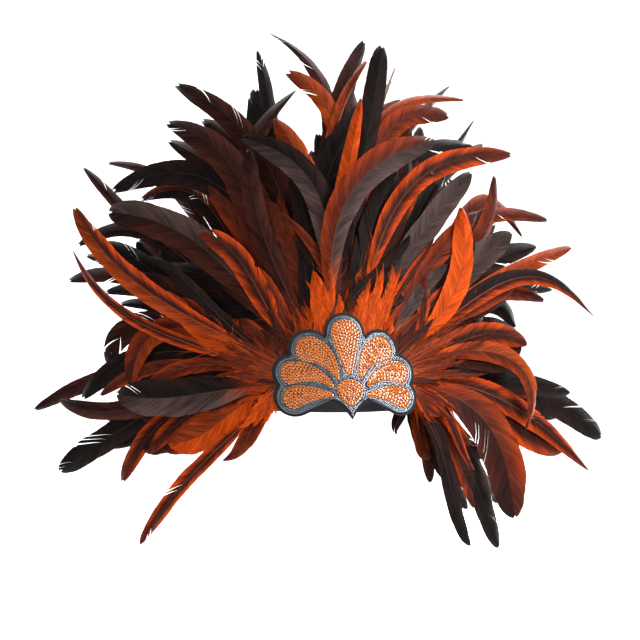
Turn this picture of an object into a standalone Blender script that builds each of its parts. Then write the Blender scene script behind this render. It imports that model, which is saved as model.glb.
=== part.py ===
"""Carnival feather headdress: a fan of cock feathers round a scalloped, sequinned forehead patch.

The fan is built the way such a piece is made. Feathers are sewn by their quills to curved tapes, and
each of ten rows has a left, a crown and a right plume. The rows lie one in front of the other on a felt
base, and spread apart towards their tips. The patch covers the tapes in front: a felt backing, a lattice
of silver trim, seven petals and a rosette. A plain band behind the base goes round the head.

Units are metres and +Z is up. The front faces -Y. The origin is the centre of the head opening, level
with the band's lower rim. Left and right are as seen from the front. Clock angles are in degrees as seen
from the front, with 0 up and 90 to the right.
"""

import math
from collections import namedtuple

import bmesh
import bpy
import numpy as np

# Gaps
CLEARANCE = 0.0003           # between pieces that lie face to face
BAND_SEAT = 0.0005           # between the band and the felt base
BASE_SEAT = 0.0006           # between the felt base and the first row
PATCH_SEAT = 0.0006          # between the last row and the patch

# Head band, an elliptical ring that leans in to the crown of the head
BAND_INNER_WIDTH = 0.152
BAND_INNER_LENGTH = 0.184
BAND_WALL = 0.002
BAND_HEIGHT = 0.025
BAND_LEAN = 0.2              # inward run for each metre of height
BAND_SEGMENTS = 48

# Dish: the surface that the base, the rows and the patch all follow
FAN_HEIGHT = 0.030           # the fan's centre above the band's lower rim
SIDE_SLOPE = 0.66            # backward slope far out at the sides
SIDE_SOFTNESS = 0.053        # half width of the rounded front
LEAN_TOP = 0.48              # backward slope above
LEAN_BOTTOM = -0.25          # and below
LEAN_TURN_DROP = 0.075       # below the centre, where one slope turns into the other
LEAN_SOFTNESS = 0.035

# Felt base
BASE_WALL = 0.0025
BASE_MARGIN = 0.003          # felt beyond the tapes at the sides
BASE_RISE = 0.052
BASE_DROP = 0.014

# Rows and tapes
ROWS = 10
ROW_PITCH = 0.0025
ROOT_ACROSS = 0.068          # half axes of the ellipse that the quills are sewn on
ROOT_UP = 0.038
TAPE_WIDTH = 0.010
TAPE_END = 3                 # degrees of tape beyond the last quill
TAPE_STEP = 10               # degrees from one section to the next
LOWER_CROWDING = 0.25        # share of its clock angle past 90 degrees that a low quill's seat keeps
SPREAD_BACK = 0.30           # backward slope that the first row adds beyond the tapes
SPREAD_FRONT = -0.33         # and the last row
SPREAD_SOFTNESS = 0.040

# Feathers
FAN_REACH = 0.300            # a tip's place on the chart is a share of this
FEATHER_WIDTH = 0.0375       # and its width of this
QUILL_WIDTH = 0.0024
VANE_THICKNESS = 0.0014      # at the shaft, from its ridge to the edges' plane
TILT = 0.14                  # turn of a vane, as a share of the room in its row
STAGGER = 0.20               # and how far neighbours stand apart beyond the tapes

# The chart is the fan as seen from this far away and turned by this much, at the patch's scale. The line
# of sight meets the patch's face to the left of the fan's centre and above it.
CHART_DISTANCE = 2.0
CHART_TURN = math.radians(11)
CHART_LEFT = 0.0312
CHART_UP = 0.0677
CHART_ROUNDS = 6             # rounds in which a tip's place settles

# Share of the chord that a shaft's handle takes: for no turn, then for each power of the turn
ROOT_HANDLE = (0.38, 0.30, 0.30)
TIP_HANDLE = (0.30, 0.20, 0.20)

# Patch
HUB_DROP = 0.0075            # the patch's hub below the fan's centre
BACKING_WALL = 0.0015
TRIM_WALL = 0.0016
PETAL_WALL = 0.0013
FELT_BORDER = 0.003
TRIM_BORDER = 0.0042
ARCH_ACROSS = 0.018          # the lower edge's two arches
ARCH_DROP = 0.0103
POINT_DROP = 0.0285          # the point between them
POINT_POWER = 1.6
PETAL_FOOT = 0.0180          # from the hub to a petal's near edge
ROSETTE_WIDTH = 0.0280
ROSETTE_RISE = 0.0135
ROSETTE_DROP = 0.0155
ROSETTE_FULLNESS = 0.7
BEND_STEP_ACROSS = 0.015     # facets of the bent plates
BEND_STEP_UP = 0.030
BEND_STEPS = 7
FLAT_ANGLE = math.radians(0.2)  # faces of a flat plate that meet at less than this are one

# A lobe of the patch is a circle: its clock angle, its distance from the hub and its radius. The petal
# inside has a foot with a clock angle and a radius of its own and a wide end round the lobe's middle.
# It bows by a length towards the crown.
Lobe = namedtuple("Lobe", "name clock distance radius foot_clock foot_radius half_width bow")
CROWN_LOBE = Lobe("petal_crown", 0, 0.0610, 0.0220, 0, 0.0048, 0.0152, 0)
SIDE_LOBES = (
    Lobe("upper", 41, 0.0575, 0.0220, 38, 0.0028, 0.0147, 0.0056),
    Lobe("middle", 71, 0.0600, 0.0200, 68.5, 0.0027, 0.0122, 0.0054),
    Lobe("lower", 95.5, 0.0573, 0.0200, 97.5, 0.0023, 0.0115, 0.0024),
)
LOWER_EDGE_CLOCK = 114       # where the outline leaves the last lobe

# Corners of the flat outlines
ROSETTE_CORNERS = 16
PETAL_END_CORNERS = 11
PETAL_FOOT_CORNERS = 4
PETAL_SIDE_CORNERS = 2
LOBED_CORNERS = 55
ARCH_STEPS = 5
BASE_CORNERS = 25

# A cut gives a vane's half width along the feather: it rises as 1 - exp(-(t / rise)^2) and falls as
# (1 - t^power)^taper, with t from 0 at the root to 1 at the tip
Cut = namedtuple("Cut", "rise power taper")
CUTS = {
    "blade": Cut(0.26, 9.0, 0.65),
    "sickle": Cut(0.21, 3.4, 0.90),
    "blunt": Cut(0.31, 16.0, 0.55),
}
STATIONS = (0.0, 0.06, 0.14, 0.25, 0.40, 0.57, 0.73, 0.86, 0.95)  # where a blade has its sections

# Feathers by plume. leave and end are the clock angles of a feather's direction at its root and at its
# tip. across and up are where its tip shows on the chart, as shares of FAN_REACH. width is a share of
# FEATHER_WIDTH, and cut is one of CUTS.
Feather = namedtuple("Feather", "leave across up end width cut")
CROWN = (
    (
        Feather(-18, -0.35, 0.95, -22, 0.80, "blade"),
        Feather(0, 0.00, 1.05, 2, 0.80, "blade"),
        Feather(10, 0.16, 1.06, 60, 0.30, "sickle"),
        Feather(15, 0.25, 0.90, 20, 0.80, "blade"),
    ),
    (
        Feather(-26, -0.52, 0.92, -62, 0.80, "blade"),
        Feather(-17, -0.32, 1.17, -8, 0.50, "blade"),
        Feather(5, 0.16, 1.11, 30, 0.25, "sickle"),
        Feather(22, 0.47, 0.84, 62, 0.52, "blade"),
    ),
    (
        Feather(-22, -0.33, 1.03, 5, 0.55, "blunt"),
        Feather(-2, -0.29, 1.23, -58, 0.85, "sickle"),
        Feather(12, 0.35, 1.04, 55, 0.30, "blade"),
    ),
    (
        Feather(-24, -0.18, 1.03, 50, 0.80, "sickle"),
        Feather(-2, 0.055, 1.20, 32, 0.78, "blade"),
        Feather(4, 0.18, 0.99, 60, 0.60, "blade"),
        Feather(22, 0.44, 0.93, 40, 0.58, "sickle"),
    ),
    (
        Feather(-12, -0.61, 1.045, -60, 0.74, "blade"),
        Feather(-4, -0.22, 1.09, -60, 0.62, "blunt"),
        Feather(-1, 0.06, 1.13, 42, 0.34, "blade"),
        Feather(12, 0.12, 1.07, 18, 0.40, "blade"),
    ),
    (
        Feather(-10, 0.08, 1.01, 40, 0.80, "blade"),
        Feather(5, 0.41, 0.99, 92, 0.35, "blade"),
        Feather(16, 0.43, 0.83, 92, 0.55, "blade"),
    ),
    (
        Feather(-25, -0.64, 0.91, -70, 0.98, "blade"),
        Feather(-4, -0.26, 0.93, -30, 0.85, "blade"),
        Feather(4, 0.11, 1.18, 14, 0.72, "blunt"),
        Feather(14, 0.35, 0.935, 95, 0.72, "blunt"),
    ),
    (
        Feather(-24, -0.35, 0.82, 3, 0.65, "blade"),
        Feather(-12, -0.20, 0.73, -18, 0.70, "blade"),
        Feather(-4, 0.04, 1.00, 14, 0.45, "blade"),
        Feather(6, 0.17, 0.78, 30, 0.70, "blade"),
        Feather(21, 0.42, 0.74, 44, 0.80, "blade"),
    ),
    (
        Feather(-2, -0.38, 0.86, -72, 0.85, "blade"),
        Feather(12, 0.57, 0.80, 88, 0.72, "blade"),
    ),
    (
        Feather(-6, 0.30, 0.85, 75, 0.95, "blade"),
    ),
)
LEFT = (
    (
        Feather(-46, -0.66, 0.47, -80, 0.90, "blade"),
        Feather(-70, -0.70, 0.14, -95, 0.70, "blade"),
        Feather(-100, -0.83, -0.22, -110, 0.35, "blade"),
    ),
    (
        Feather(-42, -0.85, 0.77, -88, 0.36, "blade"),
        Feather(-66, -0.84, 0.07, -165, 0.75, "blade"),
        Feather(-92, -1.01, -0.30, -128, 0.75, "blunt"),
    ),
    (
        Feather(-54, -0.93, 0.76, -40, 0.42, "blade"),
        Feather(-64, -0.92, 0.45, -80, 0.50, "blade"),
        Feather(-78, -1.10, -0.09, -122, 0.50, "blade"),
        Feather(-96, -0.68, -0.24, -135, 0.25, "blade"),
    ),
    (
        Feather(-48, -0.95, 0.48, -125, 0.50, "blade"),
        Feather(-70, -0.80, 0.28, -100, 0.40, "blade"),
        Feather(-88, -1.01, -0.05, -60, 0.60, "blade"),
    ),
    (
        Feather(-36, -0.73, 0.64, -118, 0.62, "blade"),
        Feather(-58, -0.98, 0.36, -108, 0.55, "blade"),
        Feather(-72, -0.93, -0.05, -140, 0.62, "blade"),
    ),
    (
        Feather(-20, -0.83, 0.67, -118, 0.85, "blade"),
        Feather(-64, -0.85, 0.32, -105, 0.50, "blade"),
        Feather(-80, -0.87, -0.04, -130, 0.40, "blade"),
        Feather(-98, -0.79, -0.34, -160, 0.50, "blade"),
    ),
    (
        Feather(-60, -0.76, -0.01, -176, 0.68, "blade"),
        Feather(-84, -0.60, -0.02, -118, 0.50, "blade"),
        Feather(-96, -0.70, -0.24, -140, 0.50, "blade"),
    ),
    (
        Feather(-38, -0.84, 0.60, -85, 1.05, "blunt"),
        Feather(-60, -0.64, 0.30, -75, 0.50, "blade"),
        Feather(-76, -0.72, -0.02, -130, 0.45, "blade"),
        Feather(-104, -0.63, -0.20, -85, 0.95, "blade"),
    ),
    (
        Feather(-40, -0.53, 0.53, -75, 0.72, "blade"),
        Feather(-72, -0.97, 0.49, -20, 0.42, "sickle"),
        Feather(-130, -0.73, -0.56, -154, 0.46, "blade"),
    ),
    (
        Feather(-62, -0.96, 0.62, -25, 0.66, "blade"),
        Feather(-92, -0.81, -0.03, -75, 1.10, "blade"),
    ),
)
RIGHT = (
    (
        Feather(38, 0.50, 0.60, 42, 0.92, "blade"),
        Feather(80, 0.75, -0.10, 100, 0.92, "blade"),
        Feather(120, 0.45, -0.35, 128, 0.69, "blade"),
    ),
    (
        Feather(66, 0.59, 0.16, 110, 0.85, "blunt"),
        Feather(150, 0.28, -0.34, 172, 0.48, "blade"),
    ),
    (
        Feather(46, 0.60, 0.51, 150, 0.62, "blade"),
        Feather(84, 0.88, -0.18, 122, 0.86, "blunt"),
        Feather(140, 0.41, -0.43, 130, 0.52, "blade"),
    ),
    (
        Feather(50, 0.65, 0.48, 82, 0.69, "blade"),
        Feather(64, 0.58, 0.20, 150, 0.80, "blade"),
        Feather(118, 0.51, -0.41, 138, 0.46, "blade"),
    ),
    (
        Feather(34, 0.69, 0.57, 100, 0.52, "blade"),
        Feather(58, 0.71, 0.33, 95, 0.46, "blade"),
        Feather(84, 0.60, -0.06, 95, 0.80, "blade"),
    ),
    (
        Feather(42, 0.50, 0.73, 8, 0.55, "blade"),
        Feather(82, 0.77, -0.03, 100, 0.66, "blade"),
        Feather(112, 0.47, -0.25, 112, 0.57, "blade"),
    ),
    (
        Feather(46, 0.56, 0.53, 58, 0.92, "blade"),
        Feather(60, 0.68, 0.29, 112, 0.52, "blade"),
        Feather(90, 0.74, -0.23, 108, 1.03, "blade"),
        Feather(130, 0.52, -0.57, 155, 0.68, "blade"),
    ),
    (
        Feather(52, 0.77, 0.48, 72, 0.50, "blade"),
        Feather(70, 0.62, 0.14, 118, 0.78, "blade"),
        Feather(88, 0.83, -0.30, 130, 0.75, "sickle"),
        Feather(108, 0.42, -0.21, 130, 0.46, "blade"),
    ),
    (
        Feather(32, 0.44, 0.60, 50, 0.63, "blade"),
        Feather(45, 0.35, 0.35, 45, 0.46, "blade"),
        Feather(56, 0.85, 0.23, 140, 0.63, "sickle"),
        Feather(96, 0.575, -0.465, 168, 1.36, "blade"),
        Feather(136, 0.42, -0.56, 142, 0.48, "blade"),
    ),
    (
        Feather(36, 0.34, 0.42, 52, 0.40, "blade"),
        Feather(55, 0.39, 0.62, -4, 0.78, "blade"),
        Feather(68, 0.60, -0.18, 215, 0.66, "sickle"),
    ),
)
PLUMES = {"left_plume": LEFT, "crown_plume": CROWN, "right_plume": RIGHT}

# Colours: red, green, blue
COAL = (0.012, 0.010, 0.011)
SABLE = (0.045, 0.016, 0.010)
RUST = (0.32, 0.060, 0.020)
EMBER = (0.62, 0.085, 0.012)
BLACK_FELT = (0.010, 0.010, 0.012)
SILVER = (0.62, 0.64, 0.67)
ORANGE_SEQUIN = (0.86, 0.24, 0.020)
ROW_COLOURS = (COAL, COAL, SABLE, COAL, SABLE, RUST, SABLE, EMBER, COAL, EMBER)


# The dish and the rows

def side_run(x):
    """Depth behind the spine: a hyperbola, round in front and straight far out."""
    reach = SIDE_SLOPE * SIDE_SOFTNESS
    return reach * (np.sqrt(1 + (x / SIDE_SOFTNESS) ** 2) - 1)


def lean_run(z):
    """Depth of the spine at a height above the fan's centre: a hyperbola between two slopes."""
    mean = (LEAN_TOP + LEAN_BOTTOM) / 2
    half = (LEAN_TOP - LEAN_BOTTOM) / 2
    bend = np.sqrt(LEAN_SOFTNESS ** 2 + (z + LEAN_TURN_DROP) ** 2)
    bend_at_centre = math.hypot(LEAN_SOFTNESS, LEAN_TURN_DROP)
    return mean * z + half * (bend - bend_at_centre)


def faceted_dish(x, z):
    """The dish with flat facets, which the bent plates share: both runs are read between knots."""
    knots = np.arange(-BEND_STEPS, BEND_STEPS + 1)
    across = knots * BEND_STEP_ACROSS
    up = knots * BEND_STEP_UP
    return np.interp(x, across, side_run(across)) + np.interp(z, up, lean_run(up))


def row_spread(row):
    """Slope that a row adds beyond the tapes, from the first row's to the last row's."""
    return SPREAD_BACK + (SPREAD_FRONT - SPREAD_BACK) * (row - 1) / (ROWS - 1)


def spread_run(x, z):
    """How far the spread has come into its own: none over the tapes, then softly up to a slope of 1."""
    beyond = np.maximum(0, np.hypot(x, z) - ROOT_ACROSS - TAPE_WIDTH / 2)
    return beyond ** 2 / (beyond + SPREAD_SOFTNESS)


def row_depth(row, x, z):
    """Depth of a row's middle surface."""
    stack = BASE_WALL + BASE_SEAT + (row - 0.5) * ROW_PITCH
    return side_run(x) + lean_run(z) - stack + row_spread(row) * spread_run(x, z)


def row_room(x, z):
    """Depth that one row has to itself."""
    return ROW_PITCH + (SPREAD_BACK - SPREAD_FRONT) / (ROWS - 1) * spread_run(x, z)


def patch_back():
    """Depth of the patch backing's rear face on the spine, in front of the fan's rear face."""
    return BASE_WALL + BASE_SEAT + ROWS * ROW_PITCH + PATCH_SEAT


def fan_depth():
    """Where the fan's rear face crosses the spine, so that the base just clears the band's top edge."""
    band_front = BAND_INNER_LENGTH / 2 + BAND_WALL - BAND_LEAN * BAND_HEIGHT
    return -(band_front + BAND_SEAT) - float(faceted_dish(0.0, BAND_HEIGHT - FAN_HEIGHT))


# Scene helpers

def new_collection(name, seen=True):
    """Collection under the scene's own. An unseen one holds blades that only feed unions."""
    collection = bpy.data.collections.new(name)
    bpy.context.scene.collection.children.link(collection)
    collection.hide_render = not seen
    return collection


def new_object(name, mesh, collection, parent=None):
    thing = bpy.data.objects.new(name, mesh)
    collection.objects.link(thing)
    thing.parent = parent
    return thing


def give_finish(thing, colour, roughness, metallic=0.0):
    """A Principled material of the piece's own."""
    material = bpy.data.materials.new(thing.name)
    material.use_nodes = True
    shader = material.node_tree.nodes["Principled BSDF"]
    shader.inputs["Base Color"].default_value = (*colour, 1.0)
    shader.inputs["Roughness"].default_value = roughness
    shader.inputs["Metallic"].default_value = metallic
    thing.data.materials.append(material)


def face_outwards(shape):
    """Turn a closed mesh's faces the same way, and outwards as its volume's sign tells."""
    bmesh.ops.recalc_face_normals(shape, faces=shape.faces)
    if shape.calc_volume(signed=True) < 0:
        bmesh.ops.reverse_faces(shape, faces=shape.faces)


def loft(name, rings, point=None):
    """Closed mesh over rings of as many corners each, capped in front and ended by a cap or a point."""
    count = len(rings[0])
    corners = [tuple(corner) for ring in rings for corner in ring]
    faces = [tuple(range(count))]
    last = (len(rings) - 1) * count
    for start in range(0, last, count):
        for k in range(count):
            after = (k + 1) % count
            faces.append((start + k, start + after, start + count + after, start + count + k))
    if point is None:
        faces.append(tuple(range(last, last + count)))
    else:
        corners.append(tuple(point))
        for k in range(count):
            faces.append((last + k, last + (k + 1) % count, len(corners) - 1))
    mesh = bpy.data.meshes.new(name)
    mesh.from_pydata(corners, [], faces)
    shape = bmesh.new()
    shape.from_mesh(mesh)
    face_outwards(shape)
    bmesh.ops.triangulate(shape, faces=shape.faces)
    shape.to_mesh(mesh)
    shape.free()
    return mesh


# Head band

def make_head_band(collection):
    """Open elliptical cone, given its wall outwards."""
    shape = bmesh.new()
    bmesh.ops.create_cone(
        shape, cap_ends=False, segments=BAND_SEGMENTS, radius1=1.0, radius2=1.0, depth=BAND_HEIGHT
    )
    for vert in shape.verts:
        height = vert.co.z + BAND_HEIGHT / 2
        lean = BAND_LEAN * height
        vert.co.x *= BAND_INNER_WIDTH / 2 - lean
        vert.co.y *= BAND_INNER_LENGTH / 2 - lean
        vert.co.z = height
    mesh = bpy.data.meshes.new("head_band")
    shape.to_mesh(mesh)
    shape.free()
    band = new_object("head_band", mesh, collection)
    wall = band.modifiers.new("wall", "SOLIDIFY")
    wall.thickness = BAND_WALL
    wall.offset = 1.0
    mesh.shade_smooth()
    mesh.set_sharp_from_angle(angle=math.radians(40))
    give_finish(band, BLACK_FELT, 0.9)


# Feathers

def clock_direction(clock):
    angle = math.radians(clock)
    return np.array([math.sin(angle), math.cos(angle)])


def seat_angle(leave):
    """Clock angle of a quill's seat. Past 90 degrees the seats crowd together."""
    past = max(0.0, abs(leave) - 90)
    return math.copysign(min(abs(leave), 90) + LOWER_CROWDING * past, leave)


def root_point(clock, outward=0.0):
    """Point of the root ellipse, or of one that lies further out."""
    return clock_direction(clock) * np.array([ROOT_ACROSS + outward, ROOT_UP + outward])


def tip_point(row, feather):
    """Tip in the fan's own plane, from its place on the chart.

    A point shows on the chart at x cos - y sin across, drawn towards the line of sight by its distance.
    The depth of the row gives y, so x and z settle in a few rounds.
    """
    sight = np.array([-CHART_LEFT, CHART_UP])
    x, z = np.array([feather.across, feather.up]) * FAN_REACH
    shown = np.array([x, z]) - sight
    face = -patch_back() - BACKING_WALL - TRIM_WALL
    for _ in range(CHART_ROUNDS):
        y = float(row_depth(row, x, z)) - face
        away = 1 + (x * math.sin(CHART_TURN) + y * math.cos(CHART_TURN)) / CHART_DISTANCE
        across, z = shown * away + sight
        x = (across + y * math.sin(CHART_TURN)) / math.cos(CHART_TURN)
    return np.array([x, z])


def handle_share(shares, turn):
    """A handle's share of the chord. turn is the feather's own, as a share of 180 degrees."""
    return shares[0] + shares[1] * turn + shares[2] * turn ** 2


def cut_share(cut, along):
    """Half width at places along a feather, as a share of the whole."""
    return (1 - np.exp(-(along / cut.rise) ** 2)) * (1 - along ** cut.power) ** cut.taper


def feather_line(row, feather, along):
    """Points and directions of a feather's shaft, a cubic Bezier curve in the fan's own plane.

    The handles follow the leave and end angles and lengthen as the feather turns more.
    """
    root = root_point(seat_angle(feather.leave))
    tip = tip_point(row, feather)
    chord = np.linalg.norm(tip - root)
    turn = abs(feather.end - feather.leave) / 180
    first = root + clock_direction(feather.leave) * (chord * handle_share(ROOT_HANDLE, turn))
    second = tip - clock_direction(feather.end) * (chord * handle_share(TIP_HANDLE, turn))
    t = np.asarray(along)[:, None]
    rest = 1 - t
    line = rest ** 3 * root + 3 * rest ** 2 * t * first + 3 * rest * t ** 2 * second + t ** 3 * tip
    slope = rest ** 2 * (first - root) + 2 * rest * t * (second - first) + t ** 2 * (tip - second)
    return line, slope / np.linalg.norm(slope, axis=1)[:, None]


def feather_mesh(name, row, index, feather):
    """Blade with a ridge in front and a flat back, in its row's own room.

    At each station the edges stand off the shaft to both sides. The ridge's depth is the row's at the
    shaft, moved by the stagger, and each edge's is the row's at the edge, tilted one way or the other.
    """
    shares = cut_share(CUTS[feather.cut], np.array(STATIONS))
    line, direction = feather_line(row, feather, STATIONS + (1.0,))
    half = QUILL_WIDTH / 2 + (FEATHER_WIDTH * feather.width - QUILL_WIDTH) / 2 * shares
    hand = 1 if index % 2 else -1

    def section(points, thickness, tilt):
        x, z = points[:, 0], points[:, 1]
        room = row_room(x, z)
        shift = hand * STAGGER * (room - ROW_PITCH) + hand * tilt * TILT * room + thickness
        return np.column_stack([x, row_depth(row, x, z) + shift, z])

    shaft, tip = line[:-1], line[-1:]
    side = np.column_stack([direction[:-1, 1], -direction[:-1, 0]]) * half[:, None]
    left = section(shaft - side, VANE_THICKNESS / 2, 1)
    right = section(shaft + side, VANE_THICKNESS / 2, -1)
    ridge = section(shaft, -VANE_THICKNESS / 2, 0)
    return loft(name, list(zip(left, ridge, right)), section(tip, 0, 0)[0])


def tape_mesh(name, row, first, last):
    """Strip along the root ellipse, with sections at whole steps so that the rows' tapes lie alike."""
    steps = range(int(first // TAPE_STEP) + 1, math.ceil(last / TAPE_STEP))
    clocks = [first] + [step * TAPE_STEP for step in steps] + [last]
    half = (ROW_PITCH - CLEARANCE) / 2
    rings = []
    for clock in clocks:
        inner = root_point(clock, -TAPE_WIDTH / 2)
        outer = root_point(clock, TAPE_WIDTH / 2)
        inner_depth = float(row_depth(row, *inner))
        outer_depth = float(row_depth(row, *outer))
        rings.append((
            (inner[0], inner_depth + half, inner[1]),
            (outer[0], outer_depth + half, outer[1]),
            (outer[0], outer_depth - half, outer[1]),
            (inner[0], inner_depth - half, inner[1]),
        ))
    return loft(name, rings)


def make_plume(name, row, feathers, collection, blades, fan):
    """One side's feathers of a row, each joined to their tape by a union."""
    seats = [seat_angle(feather.leave) for feather in feathers]
    mesh = tape_mesh(name, row, min(seats) - TAPE_END, max(seats) + TAPE_END)
    plume = new_object(name, mesh, collection, fan)
    for index, feather in enumerate(feathers):
        blade_name = f"{name}_blade_{index + 1}"
        blade = new_object(blade_name, feather_mesh(blade_name, row, index, feather), blades, fan)
        blade.hide_render = True
        blade.display_type = "WIRE"
        union = plume.modifiers.new(blade_name, "BOOLEAN")
        union.operation = "UNION"
        union.solver = "EXACT"
        union.object = blade
    give_finish(plume, ROW_COLOURS[row - 1], 0.45)


# Bent plates

def inset(outline, distance):
    """Outline moved inwards by a distance along each corner's bisector. It runs clockwise."""
    before = outline - np.roll(outline, 1, axis=0)
    after = np.roll(outline, -1, axis=0) - outline
    before /= np.linalg.norm(before, axis=1)[:, None]
    after /= np.linalg.norm(after, axis=1)[:, None]
    normal = np.column_stack([before[:, 1] + after[:, 1], -before[:, 0] - after[:, 0]])
    normal /= np.linalg.norm(normal, axis=1)[:, None]
    stretch = np.maximum(0.5, normal[:, 0] * after[:, 1] - normal[:, 1] * after[:, 0])
    return outline + normal * (distance / stretch)[:, None]


def clock_circle(first, last, count):
    """Points of a circle of radius 1 from one clock angle to another."""
    angle = np.radians(np.linspace(first, last, count))
    return np.column_stack([np.sin(angle), np.cos(angle)])


def turned(outline, clock):
    """Outline with its own +Z axis turned to a clock angle."""
    out = clock_direction(clock)
    aside = np.array([out[1], -out[0]])
    return outline[:, :1] * aside + outline[:, 1:] * out


def petal_outline(lobe, side):
    """A lobe's petal, clockwise: two circles joined by their tangents, with the sides bowed.

    The bow moves a point aside by bow times 1 - (2s - 1)^2, with s from 0 at the foot circle's middle
    to 1 at the lobe's.
    """
    foot = clock_direction(lobe.foot_clock * side) * (PETAL_FOOT + lobe.foot_radius)
    middle = clock_direction(lobe.clock * side) * lobe.distance
    reach = math.dist(middle, foot)
    toward = (middle - foot) / reach
    edge = 90 + math.degrees(math.asin((lobe.half_width - lobe.foot_radius) / reach))
    end = clock_circle(-edge, edge, PETAL_END_CORNERS) * lobe.half_width + np.array([0, reach])
    near = clock_circle(edge, 360 - edge, PETAL_FOOT_CORNERS) * lobe.foot_radius
    share = np.linspace(0, 1, PETAL_SIDE_CORNERS + 2)[1:-1, None]
    right = end[-1] + (near[0] - end[-1]) * share
    left = near[-1] + (end[0] - near[-1]) * share
    shape = np.vstack([end, right, near, left])
    along = np.clip(shape[:, 1] / reach, 0, 1)
    shape[:, 0] -= side * lobe.bow * (1 - (2 * along - 1) ** 2)
    return foot + turned(shape, math.degrees(math.atan2(toward[0], toward[1])))


def rosette_outline():
    """Drop with its point below, clockwise from there.

    With a running once round, the height is length (1 - cos a) / 2 and the half width goes as
    sin a times sin(a / 2) to the power of fullness.
    """
    a = np.linspace(0, 2 * math.pi, ROSETTE_CORNERS, endpoint=False)
    fine = np.linspace(0, math.pi, 181)
    widest = np.max(np.sin(fine) * np.sin(fine / 2) ** ROSETTE_FULLNESS)
    across = -ROSETTE_WIDTH / 2 / widest * np.sin(a) * np.abs(np.sin(a / 2)) ** ROSETTE_FULLNESS
    return np.column_stack([across, (ROSETTE_RISE + ROSETTE_DROP) * (1 - np.cos(a)) / 2 - ROSETTE_DROP])


def all_lobes():
    """Every lobe with its side: the left ones, the crown's and the right ones, clockwise."""
    left = [(lobe, -1) for lobe in reversed(SIDE_LOBES)]
    return left + [(CROWN_LOBE, 1)] + [(lobe, 1) for lobe in SIDE_LOBES]


def lobed_edge(clocks):
    """Upper edge: at each clock angle, the outermost of the lobes' circles."""
    reach = np.zeros(len(clocks))
    for lobe, side in all_lobes():
        aside = np.radians(clocks - lobe.clock * side)
        chord = lobe.radius ** 2 - (lobe.distance * np.sin(aside)) ** 2
        far = lobe.distance * np.cos(aside) + np.sqrt(np.maximum(0, chord))
        reach = np.maximum(reach, np.where(chord > 0, far, 0))
    angle = np.radians(clocks)
    return np.column_stack([np.sin(angle), np.cos(angle)]) * reach[:, None]


def lower_edge(corner, count):
    """Lower edge's height from the point in the middle to the corner, over count steps.

    A power curve climbs from the point to the arch's top, and a cosine falls from there to the corner.
    """
    inner = np.linspace(0, ARCH_ACROSS, count, endpoint=False)
    outer = np.linspace(ARCH_ACROSS, corner[0], count, endpoint=False)
    climb = -ARCH_DROP - (POINT_DROP - ARCH_DROP) * (1 - inner / ARCH_ACROSS) ** POINT_POWER
    share = (outer - ARCH_ACROSS) / (corner[0] - ARCH_ACROSS)
    fall = -ARCH_DROP + (corner[1] + ARCH_DROP) * (1 - np.cos(math.pi * share)) / 2
    return np.column_stack([np.append(inner, outer), np.append(climb, fall)])


def patch_outline():
    """Scalloped outline about the hub, clockwise from the lower left corner."""
    upper = lobed_edge(np.linspace(-LOWER_EDGE_CLOCK, LOWER_EDGE_CLOCK, LOBED_CORNERS))
    lower = lower_edge(upper[-1], ARCH_STEPS)
    mirrored = lower[1:] * np.array([-1, 1])
    return np.vstack([upper, lower[::-1], mirrored])


def base_outline():
    """Upper half of an ellipse over a straight lower edge, clockwise, about the fan's centre."""
    angle = np.radians(np.linspace(-90, 90, BASE_CORNERS))
    half_width = ROOT_ACROSS + TAPE_WIDTH / 2 + BASE_MARGIN
    arc = np.column_stack([np.sin(angle) * half_width, np.cos(angle) * BASE_RISE])
    return np.vstack([arc, [[half_width, -BASE_DROP], [-half_width, -BASE_DROP]]])


def make_plate(name, outlines, rear, wall, collection, fan):
    """Flat outline with its holes, extruded, cut along the dish's bend lines and bent to the dish.

    rear is how far its rear face stands in front of the fan's rear face.
    """
    curve = bpy.data.curves.new(name, "CURVE")
    curve.dimensions = "2D"
    curve.fill_mode = "BOTH"
    curve.extrude = wall / 2
    for outline in outlines:
        spline = curve.splines.new("POLY")
        spline.points.add(len(outline) - 1)
        for point, (x, z) in zip(spline.points, outline):
            point.co = (x, z, 0, 1)
        spline.use_cyclic_u = True
    flat = new_object(name + "_flat", curve, collection)
    graph = bpy.context.evaluated_depsgraph_get()
    mesh = bpy.data.meshes.new_from_object(flat.evaluated_get(graph))
    bpy.data.objects.remove(flat)
    mesh.name = name
    shape = bmesh.new()
    shape.from_mesh(mesh)
    bmesh.ops.remove_doubles(shape, verts=shape.verts, dist=0.00001)
    bmesh.ops.dissolve_limit(shape, angle_limit=FLAT_ANGLE, verts=shape.verts, edges=shape.edges)
    for knot in range(-BEND_STEPS, BEND_STEPS + 1):
        for place, normal in (
            ((knot * BEND_STEP_ACROSS, 0, 0), (1, 0, 0)),
            ((0, knot * BEND_STEP_UP, 0), (0, 1, 0)),
        ):
            everything = shape.verts[:] + shape.edges[:] + shape.faces[:]
            bmesh.ops.bisect_plane(shape, geom=everything, dist=0.00001, plane_co=place, plane_no=normal)
    for vert in shape.verts:
        x, z, off = vert.co
        depth = float(faceted_dish(x, z)) - rear - wall / 2 + off
        vert.co = (x, depth, z)
    face_outwards(shape)
    shape.to_mesh(mesh)
    shape.free()
    return new_object(name, mesh, collection, fan)


def make_felt_base(collection, fan):
    base = make_plate("felt_base", [base_outline()], 0, BASE_WALL, collection, fan)
    give_finish(base, BLACK_FELT, 0.95)


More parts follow.
